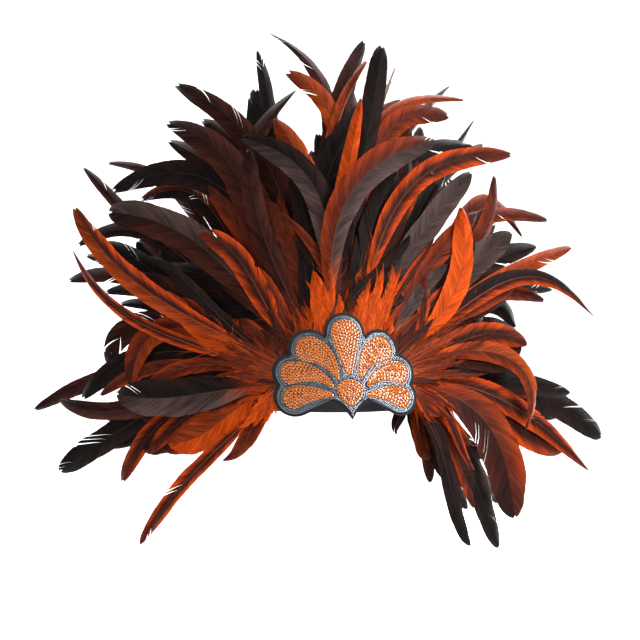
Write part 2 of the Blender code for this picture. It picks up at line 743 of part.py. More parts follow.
def make_patch(collection, fan):
    """Backing, lattice, petals and rosette, all bent alike about the hub's place on the dish."""
    hub = np.array([0.0, -HUB_DROP])
    edge = patch_outline() + hub
    petals = {}
    for lobe, side in all_lobes():
        sides = {-1: "petal_left_", 1: "petal_right_"}
        name = lobe.name if lobe is CROWN_LOBE else sides[side] + lobe.name
        petals[name] = petal_outline(lobe, side) + hub
    petals["rosette"] = rosette_outline() + hub

    rear = patch_back()
    backing = make_plate("patch_backing", [edge], rear, BACKING_WALL, collection, fan)
    give_finish(backing, BLACK_FELT, 0.95)
    rear += BACKING_WALL + CLEARANCE
    holes = [inset(outline, -CLEARANCE) for outline in petals.values()]
    trim = make_plate("silver_trim", [inset(edge, FELT_BORDER)] + holes, rear, TRIM_WALL, collection, fan)
    give_finish(trim, SILVER, 0.3, 0.8)
    for name, outline in petals.items():
        petal = make_plate(name, [outline], rear, PETAL_WALL, collection, fan)
        give_finish(petal, ORANGE_SEQUIN, 0.35, 0.2)


def main():
    for thing in list(bpy.data.objects):
        bpy.data.objects.remove(thing)
    headdress = new_collection("feather_headdress")
    blades = new_collection("loose_blades", seen=False)
    fan = new_object("fan_centre", None, headdress)
    fan.location = (0, fan_depth(), FAN_HEIGHT)

    make_head_band(headdress)
    make_felt_base(headdress, fan)
    for side, rows in PLUMES.items():
        for row, feathers in enumerate(rows, start=1):
            make_plume(f"{side}_{row}", row, feathers, headdress, blades, fan)
    make_patch(headdress, fan)


main()
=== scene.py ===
"""Carnival feather headdress: the finished look of every piece, laid out as a Blender add-on.

Every surface is worked out with numpy as a function of two parameters, or as a profile carried along a
path. The frame gives the fan's place. Metres, +Z up, the front faces -Y, and clock angles are in degrees
as seen from the front, with 0 up and 90 to the right.
"""
import functools
import math
from collections import namedtuple

import bpy
import numpy as np
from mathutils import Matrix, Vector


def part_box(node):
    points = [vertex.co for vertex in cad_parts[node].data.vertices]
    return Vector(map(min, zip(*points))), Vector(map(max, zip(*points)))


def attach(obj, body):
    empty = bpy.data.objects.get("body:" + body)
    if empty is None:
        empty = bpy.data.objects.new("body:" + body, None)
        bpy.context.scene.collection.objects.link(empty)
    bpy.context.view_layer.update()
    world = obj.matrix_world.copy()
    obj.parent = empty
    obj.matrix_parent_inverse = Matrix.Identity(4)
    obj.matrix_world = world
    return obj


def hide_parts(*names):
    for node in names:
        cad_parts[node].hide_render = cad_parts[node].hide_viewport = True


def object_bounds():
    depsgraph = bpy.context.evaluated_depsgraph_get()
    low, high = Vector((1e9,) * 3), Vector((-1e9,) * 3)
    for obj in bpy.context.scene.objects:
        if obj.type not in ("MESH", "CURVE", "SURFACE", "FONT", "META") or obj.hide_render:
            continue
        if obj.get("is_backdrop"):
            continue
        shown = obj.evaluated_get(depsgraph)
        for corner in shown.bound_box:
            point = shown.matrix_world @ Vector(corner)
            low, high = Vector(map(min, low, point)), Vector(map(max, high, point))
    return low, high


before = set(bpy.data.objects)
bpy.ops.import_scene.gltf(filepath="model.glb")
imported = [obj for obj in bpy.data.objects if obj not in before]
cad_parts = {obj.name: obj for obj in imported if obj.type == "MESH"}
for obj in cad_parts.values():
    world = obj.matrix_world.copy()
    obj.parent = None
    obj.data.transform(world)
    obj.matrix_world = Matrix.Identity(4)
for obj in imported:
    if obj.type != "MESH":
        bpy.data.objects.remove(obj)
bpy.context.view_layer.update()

bl_info = {
    "name": "Feather headdress",
    "version": (1, 0, 0),
    "blender": (4, 5, 0),
    "location": "3D View > Sidebar > Headdress",
    "description": "A fan of cock feathers round a sequinned forehead patch, on a head band",
    "category": "Add Mesh",
}

# Head band
BAND_INNER_WIDTH = 0.152
BAND_INNER_LENGTH = 0.184
BAND_WALL = 0.002
BAND_HEIGHT = 0.025
BAND_LEAN = 0.2
BAND_STATIONS = 180
BAND_CORNERS = 28

# Dish that the base, the rows and the patch follow
SIDE_SLOPE = 0.66
SIDE_SOFTNESS = 0.053
LEAN_TOP = 0.48
LEAN_BOTTOM = -0.25
LEAN_TURN = -0.075
LEAN_SOFTNESS = 0.035

# Felt base, rows and roots
BASE_WALL = 0.0025
BASE_SEAT = 0.0006
BASE_RISE = 0.052
BASE_DROP = 0.014
SPINE_STEP = 0.030
BASE_HALF_WIDTH = 0.076
ROWS = 10
ROW_PITCH = 0.0025
ROOT_ACROSS = 0.068
ROOT_UP = 0.038
TAPE_WIDTH = 0.010
LOWER_CROWDING = 0.25
SPREAD_BACK = 0.30
SPREAD_FRONT = -0.33
SPREAD_SOFTNESS = 0.040

# Stage
FLOOR_GAP = 0.16
SWEEP_RADIUS = 0.9
SWEEP_FRONT = -4.0
SWEEP_BACK = 3.7
SWEEP_TOP = 5.0
SWEEP_HALF_WIDTH = 5.0
WORLD_STRENGTH = 0.25

# Soft boxes that look at the fan: azimuth from the front, elevation, distance, size and power
SOFT_BOXES = (
    ("key", 61, 38, 1.5, 0.9, 44),
    ("fill", -38, 4, 1.9, 1.2, 19),
    ("top", 0, 75, 1.7, 1.0, 10),
)

# Lights of the backdrop and the floor: place from the fan's centre, tilt, turn, size and power
SWEEP_LIGHTS = (
    ("backdrop", (-0.95, 2.2, 0.3), 90, 180, 1.2, 130),
    ("backdrop", (1.75, 2.2, 0.3), 90, 180, 1.2, 130),
    ("floor", (0.2, 1.6, 1.3), 0, 0, 1.8, 130),
)

# Chart: the fan as the camera sees it. Its centre is the view's centre, from the fan's centre.
CHART_DISTANCE = 2.0
CHART_TURN = math.radians(11)
CHART_CENTRE = (-0.0312, 0.0677)
CHART_ROUNDS = 6
VIEW_WIDTH = 0.6667

# Share of the chord that a shaft's handle takes: for no turn, then for each power of the turn
ROOT_HANDLE = (0.38, 0.30, 0.30)
TIP_HANDLE = (0.30, 0.20, 0.20)

# Patch
PATCH_SEAT = 0.0006
HUB_DROP = 0.0075
BACKING_WALL = 0.0015
TRIM_WALL = 0.0016
PETAL_WALL = 0.0013
CLEARANCE = 0.0003
FELT_BORDER = 0.003
ARCH_ACROSS = 0.018
ARCH_DROP = 0.0103
POINT_DROP = 0.0285
POINT_POWER = 1.6
PETAL_FOOT = 0.0180
ROSETTE_WIDTH = 0.0280
ROSETTE_RISE = 0.0135
ROSETTE_DROP = 0.0155
ROSETTE_FULLNESS = 0.7
SEQUIN_HOLE = 0.0019
SEQUIN_SIDES = 10

# Passes over a petal, as shares of the pitch: from ring to ring, from place to place, and the least
# distance between two sequins. The first lays the rings and the second fills what is left between them.
SEQUIN_PASSES = ((0.93, 1.0, 0.86), (0.12, 0.12, 0.68))
SEQUIN_TILT = 0.08
SEQUIN_CUP = 0.05
FILM_HALF_WALL = 0.00012
BEAD_HOLE = 0.0006
BEAD_SIDES = 8
BEAD_TILT = 0.14
TRIM_LAYERS = 4
TRIM_CLOTH = (0.05, 0.055, 0.06)
PATCH_CORE = (0.0, -HUB_DROP + 0.002)
LOWER_EDGE_CLOCK = 114

Lobe = namedtuple("Lobe", "name clock distance radius foot_clock foot_radius half_width bow")
CROWN_LOBE = Lobe("petal_crown", 0, 0.0610, 0.0220, 0, 0.0048, 0.0152, 0)
SIDE_LOBES = (
    Lobe("upper", 41, 0.0575, 0.0220, 38, 0.0028, 0.0147, 0.0056),
    Lobe("middle", 71, 0.0600, 0.0200, 68.5, 0.0027, 0.0122, 0.0054),
    Lobe("lower", 95.5, 0.0573, 0.0200, 97.5, 0.0023, 0.0115, 0.0024),
)

# Vanes, shafts and down. Every second feather of a row stands behind its middle surface, and the others
# in front of it, by a share of the room that the row gains.
HAND_SHARE = 0.20
BEND_SHARE = 0.42
BEND_MOST = 0.0052
ROLL_ROOM = 0.014
BARB_SWEEP = 2.1
VANE_START = 0.06
VANE_END = 0.985
SHAFT_END = 0.97
SHAFT_ROOT_RADIUS = 0.0008
SHAFT_THINNING = 0.00065
HORN = (0.20, 0.07, 0.03)
DOWN_END = 0.34
DOWN_RADIUS = 0.00032

# Threads of down on a feather and on the fill beside it: from the front row on, and behind it
FRONT_ROW = 5
FRONT_THREADS = (34, 20)
REAR_THREADS = (14, 0)

LAST_SHADED_ROW = 7
FILL_TRIES = 12
COLLAR_ROW = 10.3
COLLAR_LOCK = 0.0036
COLLAR_THREADS = 44

# A cut gives a vane's half width along the feather: it rises as 1 - exp(-(t / rise)^2) and falls as
# (1 - t^power)^taper. loose is how far its locks of barbs come apart.
Cut = namedtuple("Cut", "rise power taper loose")
CUTS = {
    "blade": Cut(0.26, 9.0, 0.65, 0.03),
    "sickle": Cut(0.21, 3.4, 0.90, 0.02),
    "blunt": Cut(0.31, 16.0, 0.55, 0.06),
    "flue": Cut(0.20, 3.0, 0.80, 0.60),
}

# A tone gives a vane's colour at the shaft, at the edge, at the root and at the tip, in linear light
Tone = namedtuple("Tone", "shaft edge root tip")
TONES = {
    "flame": Tone((0.29, 0.034, 0.003), (0.38, 0.047, 0.004), (0.40, 0.048, 0.004), (0.24, 0.024, 0.003)),
    "copper": Tone((0.13, 0.020, 0.005), (0.23, 0.032, 0.005), (0.27, 0.034, 0.004), (0.10, 0.015, 0.005)),
    "ember": Tone((0.02, 0.0065, 0.0045), (0.32, 0.034, 0.0035), (0.30, 0.034, 0.004),
                  (0.05, 0.009, 0.0045)),
    "rust": Tone((0.055, 0.010, 0.005), (0.16, 0.020, 0.0045), (0.17, 0.020, 0.004), (0.034, 0.008, 0.005)),
    "sable": Tone((0.018, 0.0062, 0.0048), (0.038, 0.0095, 0.006), (0.08, 0.012, 0.005),
                  (0.012, 0.0055, 0.0048)),
    "coal": Tone((0.0062, 0.004, 0.004), (0.012, 0.0056, 0.0046), (0.05, 0.009, 0.005),
                 (0.0055, 0.0042, 0.0042)),
    # This tone's grey is painted sheen: the satin highlights of dark feathers put into their colour, over a
    # real orange root.
    "ash": Tone((0.029, 0.0185, 0.017), (0.052, 0.031, 0.027), (0.18, 0.032, 0.01),
                (0.018, 0.0115, 0.0105)),
}

# Feathers by plume, back row first: the clock angle at the root, the tip's place across and up on the
# chart as shares of the fan's reach, the clock angle at the tip, the width as a share of the feather
# width, the cut and the tone. Where the grey sheen tone is given, for a whole feather or for one side of
# it, its grey is painted sheen.
CROWN = (
    (
        (-18, -0.35, 0.95, -22, 0.80, "blade", "coal"),
        (0, 0.00, 1.05, 2, 0.80, "blade", "sable"),
        (10, 0.16, 1.06, 60, 0.30, "sickle", "coal"),
        (15, 0.25, 0.90, 20, 0.80, "blade", "coal"),
    ),
    (
        (-26, -0.52, 0.92, -62, 0.80, "blade", "sable"),
        (-17, -0.32, 1.17, -8, 0.50, "blade", "coal"),
        (5, 0.16, 1.11, 30, 0.25, "sickle", "rust"),
        (22, 0.47, 0.84, 62, 0.52, "blade", "coal"),
    ),
    (
        (-22, -0.33, 1.03, 5, 0.55, "blunt", "coal"),
        (-2, -0.29, 1.23, -58, 0.85, "sickle", "sable"),
        (12, 0.35, 1.04, 55, 0.30, "blade", "coal"),
    ),
    (
        (-24, -0.18, 1.03, 50, 0.80, "sickle", "sable"),
        (-2, 0.055, 1.20, 32, 0.78, "blade", "sable"),
        (4, 0.18, 0.99, 60, 0.60, "blade", "rust"),
        (22, 0.44, 0.93, 40, 0.58, "sickle", "coal"),
    ),
    (
        (-12, -0.61, 1.045, -60, 0.74, "blade", "sable"),
        (-4, -0.22, 1.09, -60, 0.62, "blunt", "copper"),
        (-1, 0.06, 1.13, 42, 0.34, "blade", "copper"),
        (12, 0.12, 1.07, 18, 0.40, "blade", "coal"),
    ),
    (
        (-10, 0.08, 1.01, 40, 0.80, "blade", "coal"),
        (5, 0.41, 0.99, 92, 0.35, "blade", "copper"),
        (16, 0.43, 0.83, 92, 0.55, "blade", "coal"),
    ),
    (
        (-25, -0.64, 0.91, -70, 0.98, "blade", "sable"),
        (-4, -0.26, 0.93, -30, 0.85, "blade", "copper"),
        (4, 0.11, 1.18, 14, 0.72, "blunt", "coal"),
        (14, 0.35, 0.935, 95, 0.72, "blunt", "rust"),
    ),
    (
        (-24, -0.35, 0.82, 3, 0.65, "blade", "sable"),
        (-12, -0.20, 0.73, -18, 0.70, "blade", "coal"),
        (-4, 0.04, 1.00, 14, 0.45, "blade", "flame"),
        (6, 0.17, 0.78, 30, 0.70, "blade", "coal"),
        (21, 0.42, 0.74, 44, 0.80, "blade", "ash"),
    ),
    (
        # Its left side's grey is painted sheen on a coal black feather.
        (-2, -0.38, 0.86, -72, 0.85, "blade", "ash/coal"),
        (12, 0.57, 0.80, 88, 0.72, "blade", "ember"),
    ),
    (
        (-6, 0.30, 0.85, 75, 0.95, "blade", "rust/ash"),
    ),
)
LEFT = (
    (
        (-46, -0.66, 0.47, -80, 0.90, "blade", "coal"),
        (-70, -0.70, 0.14, -95, 0.70, "blade", "coal"),
        (-100, -0.83, -0.22, -110, 0.35, "blade", "coal"),
    ),
    (
        (-42, -0.85, 0.77, -88, 0.36, "blade", "sable"),
        (-66, -0.84, 0.07, -165, 0.75, "blade", "sable"),
        (-92, -1.01, -0.30, -128, 0.75, "blunt", "coal"),
    ),
    (
        (-54, -0.93, 0.76, -40, 0.42, "blade", "sable"),
        (-64, -0.92, 0.45, -80, 0.50, "blade", "sable"),
        (-78, -1.10, -0.09, -122, 0.50, "blade", "sable"),
        (-96, -0.68, -0.24, -135, 0.25, "blade", "coal"),
    ),
    (
        (-48, -0.95, 0.48, -125, 0.50, "blade", "coal"),
        (-70, -0.80, 0.28, -100, 0.40, "blade", "coal"),
        (-88, -1.01, -0.05, -60, 0.60, "blade", "sable"),
    ),
    (
        (-36, -0.73, 0.64, -118, 0.62, "blade", "coal/ember"),
        (-58, -0.98, 0.36, -108, 0.55, "blade", "sable"),
        (-72, -0.93, -0.05, -140, 0.62, "blade", "coal"),
    ),
    (
        (-20, -0.83, 0.67, -118, 0.85, "blade", "coal"),
        (-64, -0.85, 0.32, -105, 0.50, "blade", "coal"),
        (-80, -0.87, -0.04, -130, 0.40, "blade", "rust"),
        (-98, -0.79, -0.34, -160, 0.50, "blade", "ember"),
    ),
    (
        (-60, -0.76, -0.01, -176, 0.68, "blade", "copper/rust"),
        (-84, -0.60, -0.02, -118, 0.50, "blade", "sable"),
        (-96, -0.70, -0.24, -140, 0.50, "blade", "ember"),
    ),
    (
        (-38, -0.84, 0.60, -85, 1.05, "blunt", "sable/ash"),
        (-60, -0.64, 0.30, -75, 0.50, "blade", "rust"),
        (-76, -0.72, -0.02, -130, 0.45, "blade", "rust"),
        (-104, -0.63, -0.20, -85, 0.95, "blade", "flame/copper"),
    ),
    (
        (-40, -0.53, 0.53, -75, 0.72, "blade", "ember"),
        (-72, -0.97, 0.49, -20, 0.42, "sickle", "ember"),
        (-130, -0.73, -0.56, -154, 0.46, "blade", "ember"),
    ),
    (
        (-62, -0.96, 0.62, -25, 0.66, "blade", "copper/ember"),
        # Its lower side is painted grey as sheen, and its upper side is coal black as the shaded half.
        (-92, -0.81, -0.03, -75, 1.10, "blade", "ash/coal"),
    ),
)
RIGHT = (
    (
        (38, 0.50, 0.60, 42, 0.92, "blade", "coal"),
        (80, 0.75, -0.10, 100, 0.92, "blade", "coal"),
        (120, 0.45, -0.35, 128, 0.69, "blade", "coal"),
    ),
    (
        (66, 0.59, 0.16, 110, 0.85, "blunt", "coal"),
        (150, 0.28, -0.34, 172, 0.48, "blade", "sable"),
    ),
    (
        (46, 0.60, 0.51, 150, 0.62, "blade", "rust"),
        (84, 0.88, -0.18, 122, 0.86, "blunt", "coal"),
        (140, 0.41, -0.43, 130, 0.52, "blade", "sable"),
    ),
    (
        (50, 0.65, 0.48, 82, 0.69, "blade", "coal"),
        (64, 0.58, 0.20, 150, 0.80, "blade", "coal"),
        (118, 0.51, -0.41, 138, 0.46, "blade", "ash"),
    ),
    (
        (34, 0.69, 0.57, 100, 0.52, "blade", "rust"),
        (58, 0.71, 0.33, 95, 0.46, "blade", "coal"),
        (84, 0.60, -0.06, 95, 0.80, "blade", "coal"),
    ),
    (
        (42, 0.50, 0.73, 8, 0.55, "blade", "rust"),
        (82, 0.77, -0.03, 100, 0.66, "blade", "coal"),
        (112, 0.47, -0.25, 112, 0.57, "blade", "ash"),
    ),
    (
        (46, 0.56, 0.53, 58, 0.92, "blade", "ash"),
        (60, 0.68, 0.29, 112, 0.52, "blade", "rust"),
        (90, 0.74, -0.23, 108, 1.03, "blade", "ember"),
        (130, 0.52, -0.57, 155, 0.68, "blade", "coal"),
    ),
    (
        (52, 0.77, 0.48, 72, 0.50, "blade", "copper"),
        (70, 0.62, 0.14, 118, 0.78, "blade", "ember"),
        (88, 0.83, -0.30, 130, 0.75, "sickle", "ember"),
        (108, 0.42, -0.21, 130, 0.46, "blade", "ember"),
    ),
    (
        (32, 0.44, 0.60, 50, 0.63, "blade", "rust"),
        (45, 0.35, 0.35, 45, 0.46, "blade", "ember"),
        (56, 0.85, 0.23, 140, 0.63, "sickle", "coal/ember"),
        (96, 0.575, -0.465, 168, 1.36, "blade", "rust/sable"),
        (136, 0.42, -0.56, 142, 0.48, "blade", "coal"),
    ),
    (
        (36, 0.34, 0.42, 52, 0.40, "blade", "ash"),
        (55, 0.39, 0.62, -4, 0.78, "blade", "flame"),
        (68, 0.60, -0.18, 215, 0.66, "sickle", "copper/rust"),
    ),
)
Feather = namedtuple("Feather", "leave across up end width cut tone")
PLUMES = {"left": LEFT, "crown": CROWN, "right": RIGHT}
SEEDS = {"left": 100, "crown": 200, "right": 300}
ROW_SLOTS = ("coal", "coal", "sable", "coal", "sable", "rust", "sable", "ember", "coal", "ember")

# Openings in the fan that show what is behind it: place on the chart and half size, as shares of its reach
OPENINGS = ((-0.575, 0.605, 0.075), (0.34, 0.538, 0.026), (-0.185, 0.96, 0.05))

# Tufts of short feathers round the patch: from one clock angle to another, how many, how far they reach
# and their tone
COLLAR = (
    (-110, -99, 6, 0.36, "flame"),
    (-97, -84, 5, 0.30, "sable"),
    (-82, -60, 9, 0.42, "rust"),
    (-78, -64, 4, 0.36, "copper"),
    (-58, -40, 7, 0.38, "sable"),
    (-36, -26, 4, 0.30, "ember"),
    (-23, -8, 8, 0.36, "flame"),
    (-5, 5, 4, 0.26, "sable"),
    (7, 30, 12, 0.36, "flame"),
    (32, 52, 7, 0.34, "sable"),
    (54, 80, 10, 0.42, "rust"),
    (62, 76, 4, 0.38, "copper"),
    (82, 97, 6, 0.34, "sable"),
    (99, 109, 5, 0.36, "ember"),
)

# Tones of the shorter feathers that fill each plume near its roots, with their likelihoods
FILL_TONES = {
    "left": (("flame", 0.16), ("ember", 0.24), ("rust", 0.28), ("sable", 0.18), ("coal", 0.14)),
    "crown": (("flame", 0.12), ("ember", 0.14), ("rust", 0.16), ("sable", 0.28), ("coal", 0.30)),
    "right": (("flame", 0.20), ("ember", 0.26), ("rust", 0.24), ("sable", 0.16), ("coal", 0.14)),
}


class HeaddressSizes(bpy.types.PropertyGroup):
    """Sizes that a maker would change."""

    fan_reach: bpy.props.FloatProperty(
        name="Fan reach", description="Length that the tips' places are shares of",
        default=0.300, min=0.1, unit="LENGTH")
    feather_width: bpy.props.FloatProperty(
        name="Feather width", description="Width of a feather whose share is 1",
        default=0.0375, min=0.005, unit="LENGTH")
    vane_thickness: bpy.props.FloatProperty(
        name="Vane thickness", description="Thickness of a lock of barbs in its middle",
        default=0.0004, min=0.0001, unit="LENGTH")
    lock_length: bpy.props.FloatProperty(
        name="Lock length", description="Length of shaft that one lock of barbs takes",
        default=0.0068, min=0.001, unit="LENGTH")
    down_length: bpy.props.FloatProperty(
        name="Down length", description="Length of the longest down at a feather's root",
        default=0.024, min=0.001, unit="LENGTH")
    sequin_width: bpy.props.FloatProperty(
        name="Sequin width", description="Diameter of a petal's sequins",
        default=0.0043, min=0.001, unit="LENGTH")
    sequin_pitch: bpy.props.FloatProperty(
        name="Sequin pitch", description="From one petal sequin to the next along its row",
        default=0.0036, min=0.001, unit="LENGTH")
    bead_width: bpy.props.FloatProperty(
        name="Trim sequin width", description="Diameter of the silver trim's sequins",
        default=0.0023, min=0.001, unit="LENGTH")


class HeaddressColours(bpy.types.PropertyGroup):
    """Colours that a maker would change."""

    felt: bpy.props.FloatVectorProperty(
        name="Felt", description="Felt of the base and of the patch's backing",
        subtype="COLOR", default=(0.009, 0.009, 0.011), min=0, max=1)
    sequin: bpy.props.FloatVectorProperty(
        name="Petal sequins", description="Sequins of the petals and of the rosette",
        subtype="COLOR", default=(0.43, 0.100, 0.0012), min=0, max=1)
    trim: bpy.props.FloatVectorProperty(
        name="Trim sequins", description="Silver sequins of the lattice",
        subtype="COLOR", default=(0.105, 0.117, 0.135), min=0, max=1)
    floor: bpy.props.FloatVectorProperty(
        name="Floor", description="Floor and backdrop",
        subtype="COLOR", default=(0.93, 0.93, 0.93), min=0, max=1)


def sizes():
    return bpy.context.scene.headdress_sizes


def colours():
    return bpy.context.scene.headdress_colours


# Surfaces that everything follows

def side_run(x):
    """Depth behind the spine: a hyperbola, round in front and straight far out."""
    return SIDE_SLOPE * SIDE_SOFTNESS * (np.sqrt(1 + (x / SIDE_SOFTNESS) ** 2) - 1)


def lean_run(z):
    """Depth of the spine at a height above the fan's centre: a hyperbola between two slopes."""
    mean = (LEAN_TOP + LEAN_BOTTOM) / 2
    half = (LEAN_TOP - LEAN_BOTTOM) / 2
    bend = np.sqrt(LEAN_SOFTNESS ** 2 + (z - LEAN_TURN) ** 2)
    return mean * z + half * (bend - math.hypot(LEAN_SOFTNESS, LEAN_TURN))


def dish(x, z):
    return side_run(x) + lean_run(z)


def row_spread(row):
    return SPREAD_BACK + (SPREAD_FRONT - SPREAD_BACK) * (row - 1) / (ROWS - 1)


def spread_run(x, z):
    """None over the roots, then softly up to a slope of 1."""
    beyond = np.maximum(0, np.hypot(x, z) - ROOT_ACROSS - TAPE_WIDTH / 2)
    return beyond ** 2 / (beyond + SPREAD_SOFTNESS)


def row_depth(row, x, z):
    """Depth of a row's middle surface: the dish, less the rows behind it, plus the row's own spread."""
    stack = BASE_WALL + BASE_SEAT + (row - 0.5) * ROW_PITCH
    return dish(x, z) - stack + row_spread(row) * spread_run(x, z)


def row_room(x, z):
    """Depth that one row has to itself."""
    return ROW_PITCH + (SPREAD_BACK - SPREAD_FRONT) / (ROWS - 1) * spread_run(x, z)


def hand_depth(hand, room):
    """How far a feather stands off its row's middle surface. hand is 1 behind it and -1 in front."""
    return hand * HAND_SHARE * (room - ROW_PITCH)


def vane_bend(room, s):
    """How far a vane bends back at a share s of its width."""
    return np.minimum(room * BEND_SHARE, BEND_MOST) * (s ** 1.7 - 0.35)


def patch_rear():
    """Rear face of the patch's backing, in front of the fan's rear face."""
    return BASE_WALL + BASE_SEAT + ROWS * ROW_PITCH + PATCH_SEAT


def fan_centre():
    """The fan's centre, read from the felt base's box: its lower front edge lies on the spine.

    The solids' spine runs straight from the centre down to SPINE_STEP below it.
    """
    low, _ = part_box("felt_base")
    run = float(lean_run(-SPINE_STEP)) * BASE_DROP / SPINE_STEP
    return np.array([0.0, low.y + BASE_WALL - run, low.z + BASE_DROP])


def clock_direction(clock):
    angle = np.radians(clock)
    return np.stack([np.sin(angle), np.cos(angle)], axis=-1)


# Meshes

class Skin:
    """Blocks of corners and faces that become one mesh, with a tint and a UV pair at each corner."""

    def __init__(self):
        self.points, self.tints, self.uvs, self.faces, self.finishes = [], [], [], [], []
        self.count = 0

    def add(self, points, faces, tint, uv, finish=0):
        """faces is a list of index arrays, each with one row for a face."""
        points = np.asarray(points, float).reshape(-1, 3)
        self.points.append(points)
        even = np.ndim(tint) == 1
        self.tints.append(np.broadcast_to(tint, points.shape) if even else tint.reshape(-1, 3))
        self.uvs.append(np.asarray(uv, float).reshape(-1, 2))
        for block in faces:
            self.faces.append(block + self.count)
            self.finishes.append(np.full(len(block), finish))
        self.count += len(points)

    def build(self, name, materials, offset=(0, 0, 0), crease=50):
        """Mesh object with the corners moved by an offset, smooth but for edges past the crease angle."""
        mesh = bpy.data.meshes.new(name)
        points = np.concatenate(self.points) + np.asarray(offset)
        mesh.vertices.add(len(points))
        mesh.vertices.foreach_set("co", points.ravel())
        corners = np.concatenate([block.ravel() for block in self.faces])
        counts = np.concatenate([np.full(len(block), block.shape[1]) for block in self.faces])
        mesh.loops.add(len(corners))
        mesh.loops.foreach_set("vertex_index", corners)
        mesh.polygons.add(len(counts))
        mesh.polygons.foreach_set("loop_start", np.concatenate([[0], np.cumsum(counts)[:-1]]))
        mesh.polygons.foreach_set("material_index", np.concatenate(self.finishes))
        mesh.update(calc_edges=True)
        uv = mesh.uv_layers.new(name="weave")
        uv.data.foreach_set("uv", np.concatenate(self.uvs)[corners].ravel())
        tint = mesh.color_attributes.new("tint", "FLOAT_COLOR", "POINT")
        colour = np.concatenate([np.concatenate(self.tints), np.ones((len(points), 1))], axis=1)
        tint.data.foreach_set("color", colour.ravel())
        mesh.shade_smooth()
        mesh.set_sharp_from_angle(angle=math.radians(crease))
        for material in materials:
            mesh.materials.append(material)
        piece = bpy.data.objects.new(name, mesh)
        bpy.context.scene.collection.objects.link(piece)
        return piece


def settle(piece, slot, *nodes):
    """The piece rides on the one body and stands for its nodes. Its slot is not used."""
    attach(piece, "root")
    if nodes:
        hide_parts(*nodes)


def grid_faces(rows, columns, round_rows=False, round_columns=True):
    """Quads between the corners of a grid, joined round where it closes."""
    i, k = np.mgrid[0:rows - (not round_rows), 0:columns - (not round_columns)]
    i2, k2 = (i + 1) % rows, (k + 1) % columns
    corners = [i * columns + k, i * columns + k2, i2 * columns + k2, i2 * columns + k]
    return np.stack(corners, axis=-1).reshape(-1, 4)


def copied(faces, count, corners):
    """The same faces on each of many blocks of corners."""
    return ((np.arange(count) * corners)[:, None, None] + faces).reshape(-1, faces.shape[1])


def tubes(paths, radii, sides):
    """Tapered tubes, each closed by a cap at its start and a point at its end.

    paths is tubes x stations x 3, and radii the same without the last axis. Round a station the corners
    lie at centre + radius (cos a * across + sin a * out), with across and out square to the path.
    """
    count, stations = paths.shape[:2]
    along = np.gradient(paths, axis=1)
    along /= np.linalg.norm(along, axis=2, keepdims=True) + 1e-12
    across = np.cross(along, np.array([0.03, -1.0, 0.05]))
    across /= np.linalg.norm(across, axis=2, keepdims=True) + 1e-12
    out = np.cross(across, along)
    a = np.arange(sides) * 2 * math.pi / sides
    ring = np.cos(a)[:, None] * across[:, :-1, None] + np.sin(a)[:, None] * out[:, :-1, None]
    body = paths[:, :-1, None] + ring * radii[:, :-1, None, None]
    points = np.concatenate([body.reshape(count, -1, 3), paths[:, -1:]], axis=1)
    k = np.arange(sides)
    last = (stations - 2) * sides
    tips = np.stack([last + k, last + (k + 1) % sides, np.full(sides, last + sides)], axis=-1)
    blocks = (grid_faces(stations - 1, sides), tips, k[::-1][None, :])
    faces = [copied(block, count, last + sides + 1) for block in blocks]
    share = np.concatenate([np.repeat(np.linspace(0, 1, stations)[:-1], sides), [1.0]])
    return points, faces, np.broadcast_to(share, (count, len(share)))


# Materials

def add_node(tree, kind, inputs=None, **settings):
    """Node with settings and input values. An input that is a socket is linked."""
    node = tree.nodes.new(kind)
    for key, value in settings.items():
        setattr(node, key, value)
    for key, value in (inputs or {}).items():
        if isinstance(value, bpy.types.NodeSocket):
            tree.links.new(value, node.inputs[key])
        else:
            node.inputs[key].default_value = value
    return node


def new_material(name):
    material = bpy.data.materials.new(name)
    material.use_nodes = True
    return material, material.node_tree, material.node_tree.nodes["Principled BSDF"]


def tinted(tree, low, high, amount):
    """The tint attribute, darkened and lightened by an amount from 0 to 1, between two factors."""
    tint = add_node(tree, "ShaderNodeAttribute", attribute_name="tint")
    factor = mapped(tree, amount, low, high)
    grey = add_node(tree, "ShaderNodeCombineColor", {"Red": factor, "Green": factor, "Blue": factor})
    mix = add_node(tree, "ShaderNodeMix", data_type="RGBA", blend_type="MULTIPLY")
    mix.inputs["Factor"].default_value = 1.0
    tree.links.new(tint.outputs["Color"], mix.inputs["A"])
    tree.links.new(grey.outputs["Color"], mix.inputs["B"])
    return mix.outputs["Result"]


def noise(tree, place, scale=1.0, detail=2.0, roughness=0.5):
    inputs = {"Vector": place, "Scale": scale, "Detail": detail, "Roughness": roughness}
    return add_node(tree, "ShaderNodeTexNoise", inputs).outputs["Fac"]


def object_place(tree):
    return add_node(tree, "ShaderNodeTexCoord").outputs["Object"]


def mapped(tree, value, low, high, start=0.0, end=1.0):
    """A value carried from the range start to end into the range low to high."""
    inputs = {"Value": value, "From Min": start, "From Max": end, "To Min": low, "To Max": high}
    return add_node(tree, "ShaderNodeMapRange", inputs).outputs[0]


def finish_surface(tree, shader, colour, roughness, specular):
    """Base colour from a socket, roughness from a socket or a number, and the specular level."""
    tree.links.new(colour, shader.inputs["Base Color"])
    if isinstance(roughness, bpy.types.NodeSocket):
        tree.links.new(roughness, shader.inputs["Roughness"])
    else:
        shader.inputs["Roughness"].default_value = roughness
    shader.inputs["Specular IOR Level"].default_value = specular


def raise_surface(tree, shader, height, strength, distance):
    bump = add_node(tree, "ShaderNodeBump", {"Height": height, "Strength": strength, "Distance": distance})
    tree.links.new(bump.outputs["Normal"], shader.inputs["Normal"])


def scaled_weave(tree, scale):
    """The weave UV pair, stretched."""
    weave = add_node(tree, "ShaderNodeUVMap", uv_map="weave")
    inputs = {"Vector": weave.outputs["UV"], "Scale": scale}
    return add_node(tree, "ShaderNodeMapping", inputs).outputs["Vector"]


